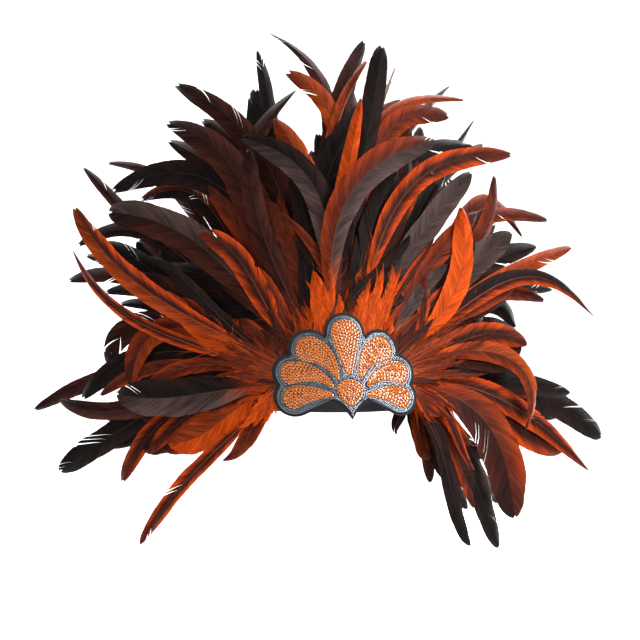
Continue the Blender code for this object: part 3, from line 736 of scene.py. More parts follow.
def vane_material():
    """Satin barbs: fine streaks along them, since u runs along a barb and v counts millimetres of shaft."""
    material, tree, shader = new_material("vane")
    fine = noise(tree, scaled_weave(tree, (0.5, 1.1, 1)), detail=3.0, roughness=0.65)
    broad = noise(tree, scaled_weave(tree, (0.45, 0.40, 1)))
    both = add_node(tree, "ShaderNodeMath", {0: fine, 1: broad}, operation="ADD").outputs[0]
    colour = tinted(tree, 0.40, 1.65, mapped(tree, both, 0.0, 1.0, 0.7, 1.3))
    finish_surface(tree, shader, colour, mapped(tree, fine, 0.42, 0.60, 0.3, 0.7), 0.02)
    raise_surface(tree, shader, fine, 0.6, 0.0005)
    return material


def thread_material(name, scale, low, high, roughness, specular):
    """Horn of the shafts, or down: mottled between two levels along its length."""
    material, tree, shader = new_material(name)
    colour = tinted(tree, low, high, noise(tree, scaled_weave(tree, scale)))
    finish_surface(tree, shader, colour, roughness, specular)
    return material


def felt_material(name):
    """Pressed felt: short fibres every way, as a mottle and a bump."""
    material, tree, shader = new_material(name)
    fibre = noise(tree, object_place(tree), 900.0, 4.0)
    finish_surface(tree, shader, tinted(tree, 0.6, 1.6, fibre), 0.95, 0.25)
    raise_surface(tree, shader, fibre, 0.6, 0.0004)
    return material


def elastic_material():
    """Ribbed elastic: u and v count millimetres round the band and up it, and ribs run up it."""
    material, tree, shader = new_material("elastic")
    weave = scaled_weave(tree, (1, 1, 1))
    ribs = add_node(tree, "ShaderNodeTexWave", {"Vector": weave, "Scale": 0.22, "Distortion": 0.6},
                    bands_direction="X")
    rows = add_node(tree, "ShaderNodeTexWave", {"Vector": weave, "Scale": 0.35, "Distortion": 0.4},
                    bands_direction="Y")
    levels = {0: ribs.outputs["Fac"], 1: rows.outputs["Fac"]}
    both = add_node(tree, "ShaderNodeMath", levels, operation="MULTIPLY").outputs[0]
    finish_surface(tree, shader, tinted(tree, 0.6, 1.7, both), 0.75, 0.5)
    raise_surface(tree, shader, both, 0.5, 0.0005)
    return material


def sequin_material(name, roughness, metallic, coat):
    """Moulded film: glossy under a clear coat, with a slight orange peel."""
    material, tree, shader = new_material(name)
    peel = noise(tree, object_place(tree), 700.0)
    rough = mapped(tree, peel, roughness * 0.7, roughness * 1.3)
    finish_surface(tree, shader, tinted(tree, 0.85, 1.15, peel), rough, 0.15)
    shader.inputs["Metallic"].default_value = metallic
    shader.inputs["Coat Weight"].default_value = coat
    shader.inputs["Coat Roughness"].default_value = 0.12
    shader.inputs["Coat IOR"].default_value = 1.65
    return material


# Feathers

def seat_angle(leave):
    """Clock angle of a quill's seat. Past 90 degrees the seats crowd together."""
    past = max(0.0, abs(leave) - 90)
    return math.copysign(min(abs(leave), 90) + LOWER_CROWDING * past, leave)


def tip_point(row, across, up):
    """Tip in the fan's own plane, from its place on the chart.

    A point shows at x cos - y sin across, drawn towards the chart's centre by its distance. The row's
    depth gives y, so x and z settle in a few rounds.
    """
    shown = np.array([across, up]) * sizes().fan_reach - CHART_CENTRE
    face = -patch_rear() - BACKING_WALL - TRIM_WALL
    x, z = shown + CHART_CENTRE
    for _ in range(CHART_ROUNDS):
        y = float(row_depth(row, x, z)) - face
        away = 1 + (x * math.sin(CHART_TURN) + y * math.cos(CHART_TURN)) / CHART_DISTANCE
        aside = shown[0] * away + CHART_CENTRE[0]
        x = (aside + y * math.sin(CHART_TURN)) / math.cos(CHART_TURN)
        z = shown[1] * away + CHART_CENTRE[1]
    return np.array([x, z])


def handle_share(shares, turn):
    """A handle's share of the chord. turn is the feather's own, as a share of 180 degrees."""
    return shares[0] + shares[1] * turn + shares[2] * turn ** 2


def shaft_handles(row, feather):
    """Four handles of the shaft's cubic Bezier curve, as the solids have them."""
    root = clock_direction(seat_angle(feather.leave)) * np.array([ROOT_ACROSS, ROOT_UP])
    tip = tip_point(row, feather.across, feather.up)
    chord = np.linalg.norm(tip - root)
    turn = abs(feather.end - feather.leave) / 180
    first = root + clock_direction(feather.leave) * chord * handle_share(ROOT_HANDLE, turn)
    second = tip - clock_direction(feather.end) * chord * handle_share(TIP_HANDLE, turn)
    return np.array([root, first, second, tip])


def on_shaft(handles, t):
    """Points of the Bezier curve, and the directions across it, at any array of t."""
    t = np.asarray(t)[..., None]
    rest = 1 - t
    line = rest ** 3 * handles[0] + 3 * rest ** 2 * t * handles[1]
    line = line + 3 * rest * t ** 2 * handles[2] + t ** 3 * handles[3]
    slope = rest ** 2 * (handles[1] - handles[0]) + 2 * rest * t * (handles[2] - handles[1])
    slope = slope + t ** 2 * (handles[3] - handles[2])
    slope = slope / (np.linalg.norm(slope, axis=-1, keepdims=True) + 1e-12)
    return line, slope, np.stack([slope[..., 1], -slope[..., 0]], axis=-1)


def vane_half(feather, t):
    """Half width of the vane at t, from the feather's cut."""
    cut = CUTS[feather.cut]
    t = np.clip(t, 0, 1)
    share = (1 - np.exp(-(t / cut.rise) ** 2)) * (1 - t ** cut.power) ** cut.taper
    return sizes().feather_width * feather.width / 2 * share


def blend(a, b, share):
    share = np.clip(share, 0, 1)[..., None]
    return a * (1 - share) + b * share


def soft_step(low, high, value):
    share = np.clip((value - low) / (high - low), 0, 1)
    return share * share * (3 - 2 * share)


def side_tone(feather, side):
    """The tone on one side of the shaft. A tone of two words gives the left side's and the right's."""
    names = feather.tone.split("/")
    return TONES[names[0] if side < 0 else names[-1]]


def vane_tint(feather, side, t, s, patchy, level):
    """Colour over a vane: from the shaft's to the edge's, then the root's and the tip's at the ends."""
    tone = {key: np.array(value) for key, value in side_tone(feather, side)._asdict().items()}
    colour = blend(tone["shaft"], tone["edge"], soft_step(0.30 + patchy, 1.0 + patchy, s))
    colour = blend(colour, tone["root"], 1 - soft_step(0.10, 0.30, t + patchy * 0.3))
    colour = blend(colour, tone["tip"], soft_step(0.78, 1.0, t + patchy * 0.3))
    return colour * level[..., None]


LOCK_ROWS = np.array([0.0, 0.5, 1.0])
LOCK_COLUMNS = np.array([0.0, 0.33, 0.68, 1.0])


def lock_faces():
    """Faces of one lock: a grid of 3 rows by 4 columns in front, and behind it the same on its own
    two inner corners, so that the lock is a closed lens."""
    front = grid_faces(3, 4, round_columns=False)
    rear = front[:, ::-1].copy()
    rear[rear == 5] = 12
    rear[rear == 6] = 13
    return np.concatenate([front, rear])


LOCK_FACES = lock_faces()


def add_vane(skin, row, feather, handles, hand, side, start, lock_length, seed):
    """One side of a vane, as locks of barbs.

    A barb leaves the shaft at t and sweeps forward: at a share s of the width it has reached
    1 - (1 - t) exp(-advance / (1 - t)), so that it never passes the tip. Its depth is the row's at its
    own place, tilted, bent back towards the edge and lifted a little lock by lock.
    """
    rng = np.random.default_rng(seed)
    cut = CUTS[feather.cut]
    length = np.linalg.norm(np.diff(on_shaft(handles, np.linspace(0, 1, 30))[0], axis=0), axis=1).sum()
    count = max(6, int(length * (1 - start) / lock_length))
    bounds = np.linspace(start, VANE_END, count + 1)
    bounds[1:-1] += rng.uniform(-0.35, 0.35, count - 1) * (bounds[1] - bounds[0])
    low, high = bounds[:-1, None, None], bounds[1:, None, None]
    rows = LOCK_ROWS[None, :, None]
    s = LOCK_COLUMNS[None, None, :]

    def shared(values):
        """Values at the locks' bounds, carried over each lock's rows so that neighbours agree."""
        return values[:-1, None, None] * (1 - rows) + values[1:, None, None] * rows

    split = rng.uniform(0, 1, count) < 0.012 + 0.3 * cut.loose
    gap = np.where(split, rng.uniform(0.2, 0.8, count), -0.05)[:, None, None]
    slow = np.interp(np.arange(count + 1), np.linspace(0, count, 9), rng.normal(0, 0.05, 9))
    reach = shared(1 + slow - np.abs(rng.normal(0, 0.012 + 0.25 * cut.loose, count + 1)))
    broken = rng.uniform(0, 1, count) < 0.01 + 0.2 * cut.loose
    reach = reach * np.where(broken, rng.uniform(0.75, 0.95, count), 1)[:, None, None]
    lift = shared(rng.normal(0, 0.00025, count + 1))
    patchy = shared(rng.normal(0, 0.09, count + 1))
    level = shared(rng.normal(1, 0.15, count + 1))

    middle = (low + high) / 2
    t0 = middle + (low + (high - low) * rows - middle) * (1 - gap * s ** 1.5)
    advance = BARB_SWEEP * vane_half(feather, t0) * s ** 1.2 / length
    t = 1 - (1 - t0) * np.exp(-advance / (1 - t0))
    line, _, aside = on_shaft(handles, t)
    rounded = 1 - 0.02 * np.abs(2 * rows - 1) * s
    out = side * s * vane_half(feather, t) * reach * rounded
    place = line + aside * out[..., None]
    x, z = place[..., 0], place[..., 1]
    room = row_room(x, z)
    roll = side * s * hand * np.minimum(room, ROLL_ROOM) * (0.10 + 0.22 * np.sin(t * 5 + seed))
    ripple = 0.0006 * np.sin(t * length * 190 + seed) * s
    depth = row_depth(row, x, z) + hand_depth(hand, room) + vane_bend(room, s) + roll + ripple + lift * s
    grid = np.stack([x, depth, z], axis=-1)

    half_thick = sizes().vane_thickness / 2
    front = grid.copy()
    front[:, 1, 1:3, 1] -= half_thick
    rear = grid[:, 1, 1:3].copy()
    rear[..., 1] += half_thick
    points = np.concatenate([front.reshape(count, 12, 3), rear], axis=1)
    width_share, lightness = np.broadcast_to(s, t.shape), np.broadcast_to(level, t.shape)
    colour = vane_tint(feather, side, t, width_share, patchy, lightness)
    tint = np.concatenate([colour.reshape(count, 12, 3), colour[:, 1, 1:3]], axis=1)
    v = (t0 * length * 1000 + seed * 37.0) * np.ones_like(s)
    uv = np.stack([np.broadcast_to(side * s * 3.0, v.shape), v], axis=-1)
    uv = np.concatenate([uv.reshape(count, 12, 2), uv[:, 1, 1:3]], axis=1)
    faces = LOCK_FACES if side > 0 else LOCK_FACES[:, ::-1]
    skin.add(points, [copied(faces, count, 14)], tint, uv, 0)


def add_shaft(skin, row, feather, handles, hand, seed):
    """Shaft: a fine tapering tube, half sunk in the vane's front."""
    t = np.linspace(0, SHAFT_END, 20)
    line, _, _ = on_shaft(handles, t)
    room = row_room(line[:, 0], line[:, 1])
    depth = row_depth(row, line[:, 0], line[:, 1]) + hand_depth(hand, room) + vane_bend(room, 0.0)
    radius = (SHAFT_ROOT_RADIUS - SHAFT_THINNING * t ** 0.7) * (0.6 + 0.4 * feather.width)
    path = np.stack([line[:, 0], depth - radius * 0.3, line[:, 1]], axis=-1)[None]
    points, faces, share = tubes(path, radius[None], 5)
    tone = side_tone(feather, 1)
    base = blend(np.array(tone.edge), np.array(HORN), np.array(0.35))
    dark = np.array(tone.shaft) * 0.6
    tint = blend(base, dark, share)
    uv = np.stack([share * 0, share * 200 + seed], axis=-1)
    skin.add(points, faces, tint, uv, 1)


def add_down(skin, row, feather, handles, hand, count, reach, seed):
    """Loose down on both sides of a shaft's lower end, each a thin thread that leaves it forward and
    curls: start + length (u along + u^2 curl), with u from 0 at the shaft to 1 at the thread's end."""
    rng = np.random.default_rng(seed)
    t = rng.uniform(0.0, DOWN_END, count)
    line, along, aside = on_shaft(handles, t)
    side = rng.choice([-1.0, 1.0], count)[:, None]
    lean = rng.uniform(0.35, 1.25, count)[:, None]
    out = aside * side * np.sin(lean) + along * np.cos(lean)
    curl = along * rng.uniform(0.1, 0.7, count)[:, None] + aside * rng.normal(0, 0.25, count)[:, None]
    fullness = 0.55 + 0.45 * np.sin(t / DOWN_END * math.pi)
    length = (reach * rng.uniform(0.35, 1.0, count) * fullness)[:, None, None]
    u = np.linspace(0, 1, 5)[None, :, None]
    flat = line[:, None] + length * (u * out[:, None] + u ** 2 * curl[:, None])
    flat += rng.normal(0, 0.0007, flat.shape) * u
    x, z = flat[..., 0], flat[..., 1]
    bulge = np.maximum(-0.0006, rng.normal(0.001, 0.0035, count))[:, None] * u[..., 0] ** 1.5
    depth = row_depth(row, x, z) + hand_depth(hand, row_room(x, z)) + bulge
    paths = np.stack([x, depth, z], axis=-1)
    radii = DOWN_RADIUS * (1 - 0.75 * u[..., 0]) * np.ones((count, 1))
    points, faces, share = tubes(paths, radii, 3)
    tone = side_tone(feather, 1)
    colour = blend(np.array(tone.root), np.array(tone.edge), share * 0.5)
    colour = colour * rng.uniform(0.65, 1.25, count)[:, None, None]
    uv = np.stack([share * 3, share * 8 + rng.uniform(0, 90, count)[:, None]], axis=-1)
    skin.add(points, faces, colour, uv, 2)


def add_feather(skin, row, feather, hand, seed, lock_length, start=VANE_START, down=0, reach=0.0):
    handles = shaft_handles(row, feather)
    for side in (-1, 1):
        add_vane(skin, row, feather, handles, hand, side, start, lock_length, seed * 2 + (side > 0))
    add_shaft(skin, row, feather, handles, hand, seed)
    if down:
        add_down(skin, row, feather, handles, hand, down, reach, seed + 5000)


def neighbour(feather, scale, turn, bow, width, cut, tone):
    """A shorter feather beside another: its tip drawn in, and turned about the fan's centre."""
    a = math.radians(turn)
    across = scale * (feather.across * math.cos(a) + feather.up * math.sin(a))
    up = scale * (feather.up * math.cos(a) - feather.across * math.sin(a))
    chord = math.degrees(math.atan2(across, up))
    return Feather(feather.leave + turn, across, up, chord + bow, width, cut, tone)


def keeps_clear(row, feather):
    """Whether a feather's middle line and edges stay out of the fan's openings."""
    handles = shaft_handles(row, feather)
    line, _, _ = on_shaft(handles, np.linspace(0.2, 1, 25))
    reach = sizes().feather_width * feather.width * 0.45
    for across, up, size in OPENINGS:
        middle = tip_point(row, across, up)
        if np.min(np.linalg.norm(line - middle, axis=1)) < reach + size * sizes().fan_reach:
            return False
    return True


def fill_feather(row, feather, tones, rng):
    """A shorter neighbour in one of the plume's tones, clear of the openings."""
    names = [name for name, _ in tones]
    chances = np.array([chance for _, chance in tones])
    for _ in range(FILL_TRIES):
        tone = names[int(rng.choice(len(names), p=chances / chances.sum()))]
        upright = abs(feather.leave) < 80
        turn = rng.uniform(-7, 7) if upright else -math.copysign(rng.uniform(2, 9), feather.leave)
        found = neighbour(feather, rng.uniform(0.50, 0.80), turn, rng.uniform(-25, 25),
                          rng.uniform(0.35, 0.60), rng.choice(["blade", "sickle"]), tone)
        if keeps_clear(row, found):
            return found
    return None


def shade_feather(row, feather, rng):
    """A dark neighbour, nearly as long and broad and nearer the crown, that closes the fan behind it."""
    aside = -math.copysign(1, feather.leave) if abs(feather.leave) > 80 else rng.choice([-1, 1])
    for _ in range(FILL_TRIES):
        tone = rng.choice(["coal", "coal", "sable", "sable", "rust"])
        found = neighbour(feather, rng.uniform(0.66, 0.90), aside * rng.uniform(4, 11),
                          rng.uniform(-25, 25), rng.uniform(0.60, 0.90), "blade", tone)
        if keeps_clear(row, found):
            return found
    return None


def make_plume(side, row, rows_feathers, materials, centre):
    """All the feathers of one plume, with fill between them and down at their roots."""
    skin = Skin()
    key = SEEDS[side] + row
    rng = np.random.default_rng(key)
    lock = sizes().lock_length
    for index, values in enumerate(rows_feathers):
        feather = Feather(*values)
        hand = 1 if index % 2 else -1
        seed = key * 10 + index
        threads, fill_threads = FRONT_THREADS if row >= FRONT_ROW else REAR_THREADS
        add_feather(skin, row, feather, hand, seed, lock, down=threads, reach=sizes().down_length)
        fill = fill_feather(row, feather, FILL_TONES[side], rng)
        if fill:
            add_feather(skin, row, fill, -hand, seed + 900, lock * 1.35, down=fill_threads,
                        reach=sizes().down_length)
        shade = shade_feather(row, feather, rng) if row <= LAST_SHADED_ROW else None
        if shade:
            add_feather(skin, row, shade, -hand, seed + 1900, lock * 1.25)
    name = f"{side}_feathers_{row}"
    return skin.build(name, materials, centre)


# Flat outlines and the pads made from them

def turned(outline, clock):
    out = clock_direction(clock)
    return outline[:, :1] * np.array([out[1], -out[0]]) + outline[:, 1:] * out


def inset(outline, distance):
    """Outline moved inwards by a distance along each corner's bisector. It runs clockwise."""
    before = outline - np.roll(outline, 1, axis=0)
    after = np.roll(outline, -1, axis=0) - outline
    before = before / np.linalg.norm(before, axis=1)[:, None]
    after = after / np.linalg.norm(after, axis=1)[:, None]
    normal = np.column_stack([before[:, 1] + after[:, 1], -before[:, 0] - after[:, 0]])
    normal /= np.linalg.norm(normal, axis=1)[:, None]
    stretch = np.maximum(0.5, normal[:, 0] * after[:, 1] - normal[:, 1] * after[:, 0])
    return outline + normal * (distance / stretch)[:, None]


def petal_ring(lobe, side, distance):
    """A petal's outline moved inwards: two circles about the foot's and the lobe's middles, joined by
    their tangents. Past the foot's radius the small circle is the point where the tangents meet. The
    bow moves a point aside by bow (1 - (2s - 1)^2), with s from 0 at the foot's middle to 1."""
    foot = clock_direction(lobe.foot_clock * side) * (PETAL_FOOT + lobe.foot_radius)
    middle = clock_direction(lobe.clock * side) * lobe.distance
    reach = math.dist(middle, foot)
    toward = (middle - foot) / reach
    slant = (lobe.half_width - lobe.foot_radius) / reach
    edge = 90 + math.degrees(math.asin(slant))
    start = max(0.0, distance - lobe.foot_radius) / slant
    end = clock_direction(np.linspace(-edge, edge, 61)) * (lobe.half_width - distance)
    end = end + np.array([0, reach])
    near = clock_direction(np.linspace(edge, 360 - edge, 15)) * max(0.00002, lobe.foot_radius - distance)
    near = near + np.array([0, start])
    share = np.linspace(0, 1, 26)[1:-1, None]
    right = end[-1] + (near[0] - end[-1]) * share
    left = near[-1] + (end[0] - near[-1]) * share
    shape = np.vstack([end, right, near, left])
    along = np.clip(shape[:, 1] / reach, 0, 1)
    shape[:, 0] -= side * lobe.bow * (1 - (2 * along - 1) ** 2)
    outline = foot + turned(shape, math.degrees(math.atan2(toward[0], toward[1])))
    return outline - np.array([0, HUB_DROP])


def rosette_ring(distance):
    """Drop with its point below, moved inwards: with a once round, the height is length (1 - cos a) / 2
    and the half width goes as sin a times sin(a / 2) to the fullness. The point draws in further."""
    a = np.linspace(0, 2 * math.pi, 96, endpoint=False)
    fine = np.linspace(0, math.pi, 181)
    widest = np.max(np.sin(fine) * np.sin(fine / 2) ** ROSETTE_FULLNESS)
    across = -np.sin(a) * np.abs(np.sin(a / 2)) ** ROSETTE_FULLNESS / widest
    low = -ROSETTE_DROP + 1.6 * distance
    high = ROSETTE_RISE - distance
    up = low + (high - low) * (1 - np.cos(a)) / 2
    return np.column_stack([across * (ROSETTE_WIDTH / 2 - distance), up - HUB_DROP])


def all_lobes():
    left = [(lobe, -1) for lobe in reversed(SIDE_LOBES)]
    return left + [(CROWN_LOBE, 1)] + [(lobe, 1) for lobe in SIDE_LOBES]


def petal_rings():
    """For every petal and the rosette, by node name: its ring at a distance and its half width."""
    found = {}
    for lobe, side in all_lobes():
        name = lobe.name if lobe is CROWN_LOBE else f"petal_{'left' if side < 0 else 'right'}_{lobe.name}"
        found[name] = (functools.partial(petal_ring, lobe, side), lobe.half_width)
    found["rosette"] = (rosette_ring, ROSETTE_WIDTH / 2)
    return found


def patch_outline():
    """Scalloped outline about the fan's centre, clockwise. Its upper edge is the outermost of the
    lobes' circles at each clock angle. Below, a power curve climbs from the point to the arch's top,
    and a cosine falls from there to the corner."""
    clocks = np.linspace(-LOWER_EDGE_CLOCK, LOWER_EDGE_CLOCK, 241)
    reach = np.zeros(len(clocks))
    for lobe, side in all_lobes():
        aside = np.radians(clocks - lobe.clock * side)
        chord = lobe.radius ** 2 - (lobe.distance * np.sin(aside)) ** 2
        far = lobe.distance * np.cos(aside) + np.sqrt(np.maximum(0, chord))
        reach = np.maximum(reach, np.where(chord > 0, far, 0))
    upper = clock_direction(clocks) * reach[:, None]
    corner = upper[-1]
    inner = np.linspace(0, ARCH_ACROSS, 16, endpoint=False)
    outer = np.linspace(ARCH_ACROSS, corner[0], 24, endpoint=False)
    climb = -ARCH_DROP - (POINT_DROP - ARCH_DROP) * (1 - inner / ARCH_ACROSS) ** POINT_POWER
    share = (outer - ARCH_ACROSS) / (corner[0] - ARCH_ACROSS)
    fall = -ARCH_DROP + (corner[1] + ARCH_DROP) * (1 - np.cos(math.pi * share)) / 2
    lower = np.column_stack([np.append(inner, outer), np.append(climb, fall)])
    outline = np.vstack([upper, lower[::-1], lower[1:] * np.array([-1, 1])])
    return outline - np.array([0, HUB_DROP])


def base_outline():
    """Upper half of an ellipse over a straight lower edge, clockwise."""
    angle = np.radians(np.linspace(-90, 90, 97))
    arc = np.column_stack([np.sin(angle) * BASE_HALF_WIDTH, np.cos(angle) * BASE_RISE])
    edge = np.linspace(BASE_HALF_WIDTH, -BASE_HALF_WIDTH, 49)
    rise = np.linspace(0, -BASE_DROP, 8)[1:-1]
    down = np.column_stack([np.full(6, BASE_HALF_WIDTH), rise])
    lower = np.column_stack([edge, np.full(49, -BASE_DROP)])
    return np.vstack([arc, down, lower, down[::-1] * np.array([-1, 1])])


def pad(outline, core, rear, wall, tint):
    """Closed pad on the dish. Rings shrink from the outline to its core, in front and behind, and the
    front stands off the rear by wall (1 - r^10)^(1/2), with r from 0 at the core to 1 at the edge."""
    shares = np.array([1.0, 0.99, 0.975, 0.94, 0.86, 0.7, 0.5, 0.25])
    flat = core + (outline - core) * shares[:, None, None]
    flat = np.concatenate([flat.reshape(-1, 2), core[None]])
    rise = np.sqrt(1 - np.append(np.repeat(shares, len(outline)), 0.0) ** 10)
    behind = dish(flat[:, 0], flat[:, 1]) - rear
    front = np.column_stack([flat[:, 0], behind - wall * (0.5 + 0.5 * rise), flat[:, 1]])
    back = np.column_stack([flat[:, 0], behind - wall * (0.5 - 0.5 * rise), flat[:, 1]])[len(outline):]
    count, rings = len(outline), len(shares)
    k = np.arange(count)
    quads = grid_faces(rings, count)
    last = (rings - 1) * count
    fan = np.stack([last + k, last + (k + 1) % count, np.full(count, rings * count)], axis=-1)
    size = rings * count + 1

    def behind_index(block):
        return np.where(block < count, block, block - count + size)[:, ::-1]

    points = np.concatenate([front, back])
    faces = [quads, fan, behind_index(quads), behind_index(fan)]
    uv = points[:, [0, 2]] * 1000
    return points, faces, np.asarray(tint), uv


def inside(places, loop):
    """Which places lie inside a closed loop: those whose ray to the right crosses it an odd number of
    times."""
    x, z = places[:, :1], places[:, 1:]
    ahead = np.roll(loop, -1, axis=0)
    spans = (loop[:, 1] > z) != (ahead[:, 1] > z)
    rise = np.where(ahead[:, 1] == loop[:, 1], 1, ahead[:, 1] - loop[:, 1])
    crossing = loop[:, 0] + (z - loop[:, 1]) / rise * (ahead[:, 0] - loop[:, 0])
    return np.sum(spans & (crossing > x), axis=1) % 2 == 1


def face_frames(x, z, along):
    """On the dish at x and z: the outward normal and, square to it, the direction along and a third."""
    step = 0.0005
    slope_x = (dish(x + step, z) - dish(x - step, z)) / (2 * step)
    slope_z = (dish(x, z + step) - dish(x, z - step)) / (2 * step)
    normal = np.stack([slope_x, -np.ones_like(x), slope_z], axis=-1)
    normal /= np.linalg.norm(normal, axis=1, keepdims=True)
    first = np.stack([along[:, 0], slope_x * along[:, 0] + slope_z * along[:, 1], along[:, 1]], axis=-1)
    first /= np.linalg.norm(first, axis=1, keepdims=True)
    return first, np.cross(normal, first), normal


def spaced(loop, pitch, offset=0.0):
    """Points and directions at even steps along a closed loop."""
    closed = np.vstack([loop, loop[:1]])
    steps = np.linalg.norm(np.diff(closed, axis=0), axis=1)
    reach = np.append(0, np.cumsum(steps))
    count = max(3, int(round(reach[-1] / pitch)))
    at = (np.arange(count) + offset) / count * reach[-1]
    at = at % reach[-1]
    points = np.column_stack([np.interp(at, reach, closed[:, k]) for k in (0, 1)])
    ahead = (at + pitch * 0.2) % reach[-1]
    further = np.column_stack([np.interp(ahead, reach, closed[:, k]) for k in (0, 1)])
    along = further - points
    return points, along / (np.linalg.norm(along, axis=1, keepdims=True) + 1e-12)


def gather(places, along, found, ahead, apart):
    """The places so far and those found that keep their distance from every one before them."""
    for place, way in zip(found, ahead):
        if not len(places) or np.min(np.hypot(*(places - place).T)) > apart:
            places, along = np.vstack([places, place]), np.vstack([along, way])
    return places, along


def add_sequins(skin, places, along, depth, width, hole, sides, tilt, tint, rng):
    """Cupped discs with a hole, one edge of each over its neighbour.

    A disc is three rings: the rim, and the hole's front and rear edges. The cup is a share of the
    width deep, and each disc is tilted about the direction across its row.
    """
    x, z = places[:, 0], places[:, 1]
    count = len(places)
    first, second, normal = face_frames(x, z, along)
    lean = (tilt + rng.normal(0, 0.05, count))[:, None]
    roll = rng.normal(0, 0.05, count)[:, None]
    tilted = normal * np.cos(lean) - first * np.sin(lean) + second * roll
    tilted /= np.linalg.norm(tilted, axis=1, keepdims=True)
    first = np.cross(second, tilted)
    first /= np.linalg.norm(first, axis=1, keepdims=True)
    second = np.cross(tilted, first)
    a = np.arange(sides) * 2 * math.pi / sides
    circle = np.stack([np.cos(a), np.sin(a)], axis=-1)
    cup = SEQUIN_CUP * width
    radius = np.repeat([width / 2, hole / 2, hole / 2], sides)
    height = np.repeat([0.0, cup + FILM_HALF_WALL, cup - FILM_HALF_WALL], sides)
    local = np.column_stack([np.tile(circle, (3, 1)) * radius[:, None], height])
    base = np.stack([x, dish(x, z) - depth, z], axis=-1)
    points = base[:, None] + local[None, :, :1] * first[:, None] + local[None, :, 1:2] * second[:, None]
    points = points + local[None, :, 2:] * tilted[:, None]
    faces = copied(grid_faces(3, sides, round_rows=True), count, 3 * sides)
    shade = np.asarray(tint) * rng.normal(1, 0.07, count)[:, None]
    tints = np.repeat(np.clip(shade, 0, 1)[:, None], 3 * sides, axis=1)
    uv = np.zeros((count, 3 * sides, 2))
    skin.add(points, [faces], tints, uv, 1)


# Operators

class HEADDRESS_OT_stage(bpy.types.Operator):
    """Floor and backdrop in one sweep, soft studio lights and the camera."""

    bl_idname = "headdress.stage"
    bl_label = "Stage"

    def execute(self, context):
        centre = fan_centre()
        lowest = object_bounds()[0][2]
        make_sweep(lowest - FLOOR_GAP)
        make_camera(centre)
        make_lights(centre)
        return {"FINISHED"}


def make_sweep(level):
    """Floor that turns up into a backdrop: a profile of two straights and a quarter circle, drawn
    across the view."""
    a = np.linspace(-math.pi / 2, 0, 25)
    pivot = np.array([SWEEP_BACK - SWEEP_RADIUS, level + SWEEP_RADIUS])
    turn = pivot + SWEEP_RADIUS * np.column_stack([np.cos(a), np.sin(a)])
    profile = np.vstack([[[SWEEP_FRONT, level]], turn, [[SWEEP_BACK, SWEEP_TOP]]])
    across = np.linspace(-SWEEP_HALF_WIDTH, SWEEP_HALF_WIDTH, 3)
    points = np.stack(np.broadcast_arrays(across[None, :], profile[:, :1], profile[:, 1:]), axis=-1)
    faces = grid_faces(len(profile), 3, round_columns=False)
    material, tree, shader = new_material("sweep")
    grain = noise(tree, object_place(tree), 3.0)
    finish_surface(tree, shader, tinted(tree, 0.99, 1.01, grain), 0.9, 0.1)
    skin = Skin()
    skin.add(points, [faces], np.array(colours().floor), np.zeros((points.size // 3, 2)))
    skin.build("sweep", [material])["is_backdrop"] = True


def make_camera(centre):
    """Level camera at the chart's distance and turn, aimed at the chart's centre."""
    right = np.array([math.cos(CHART_TURN), -math.sin(CHART_TURN), 0])
    ahead = np.array([math.sin(CHART_TURN), math.cos(CHART_TURN), 0])
    face = centre + np.array([0, -patch_rear() - BACKING_WALL - TRIM_WALL, 0])
    aim = face + right * CHART_CENTRE[0] + np.array([0, 0, CHART_CENTRE[1]])
    data = bpy.data.cameras.new("camera")
    data.sensor_width = 36
    data.lens = 36 * CHART_DISTANCE / VIEW_WIDTH
    camera = bpy.data.objects.new("camera", data)
    camera.location = aim - ahead * CHART_DISTANCE
    camera.rotation_euler = (math.pi / 2, 0, -CHART_TURN)
    bpy.context.scene.collection.objects.link(camera)
    bpy.context.scene.camera = camera


def add_light(name, place, turn, size, power):
    data = bpy.data.lights.new(name, "AREA")
    data.size = size
    data.energy = power
    light = bpy.data.objects.new(name, data)
    light.location = place
    light.rotation_euler = turn
    bpy.context.scene.collection.objects.link(light)


def make_lights(centre):
    """Soft boxes round the fan, lights that whiten the sweep, and an even grey world."""
    for name, azimuth, elevation, distance, size, power in SOFT_BOXES:
        a, e = math.radians(azimuth), math.radians(elevation)
        away = np.array([math.sin(a) * math.cos(e), -math.cos(a) * math.cos(e), math.sin(e)])
        add_light(name, centre + away * distance, (math.pi / 2 - e, 0, a), size, power)
    for name, place, tilt, turn, size, power in SWEEP_LIGHTS:
        add_light(name, centre + np.array(place), (math.radians(tilt), 0, math.radians(turn)), size, power)
    world = bpy.data.worlds.new("studio")
    world.use_nodes = True
    world.node_tree.nodes["Background"].inputs["Color"].default_value = (1, 1, 1, 1)
    world.node_tree.nodes["Background"].inputs["Strength"].default_value = WORLD_STRENGTH
    bpy.context.scene.world = world
    bpy.context.scene.view_settings.view_transform = "Standard"


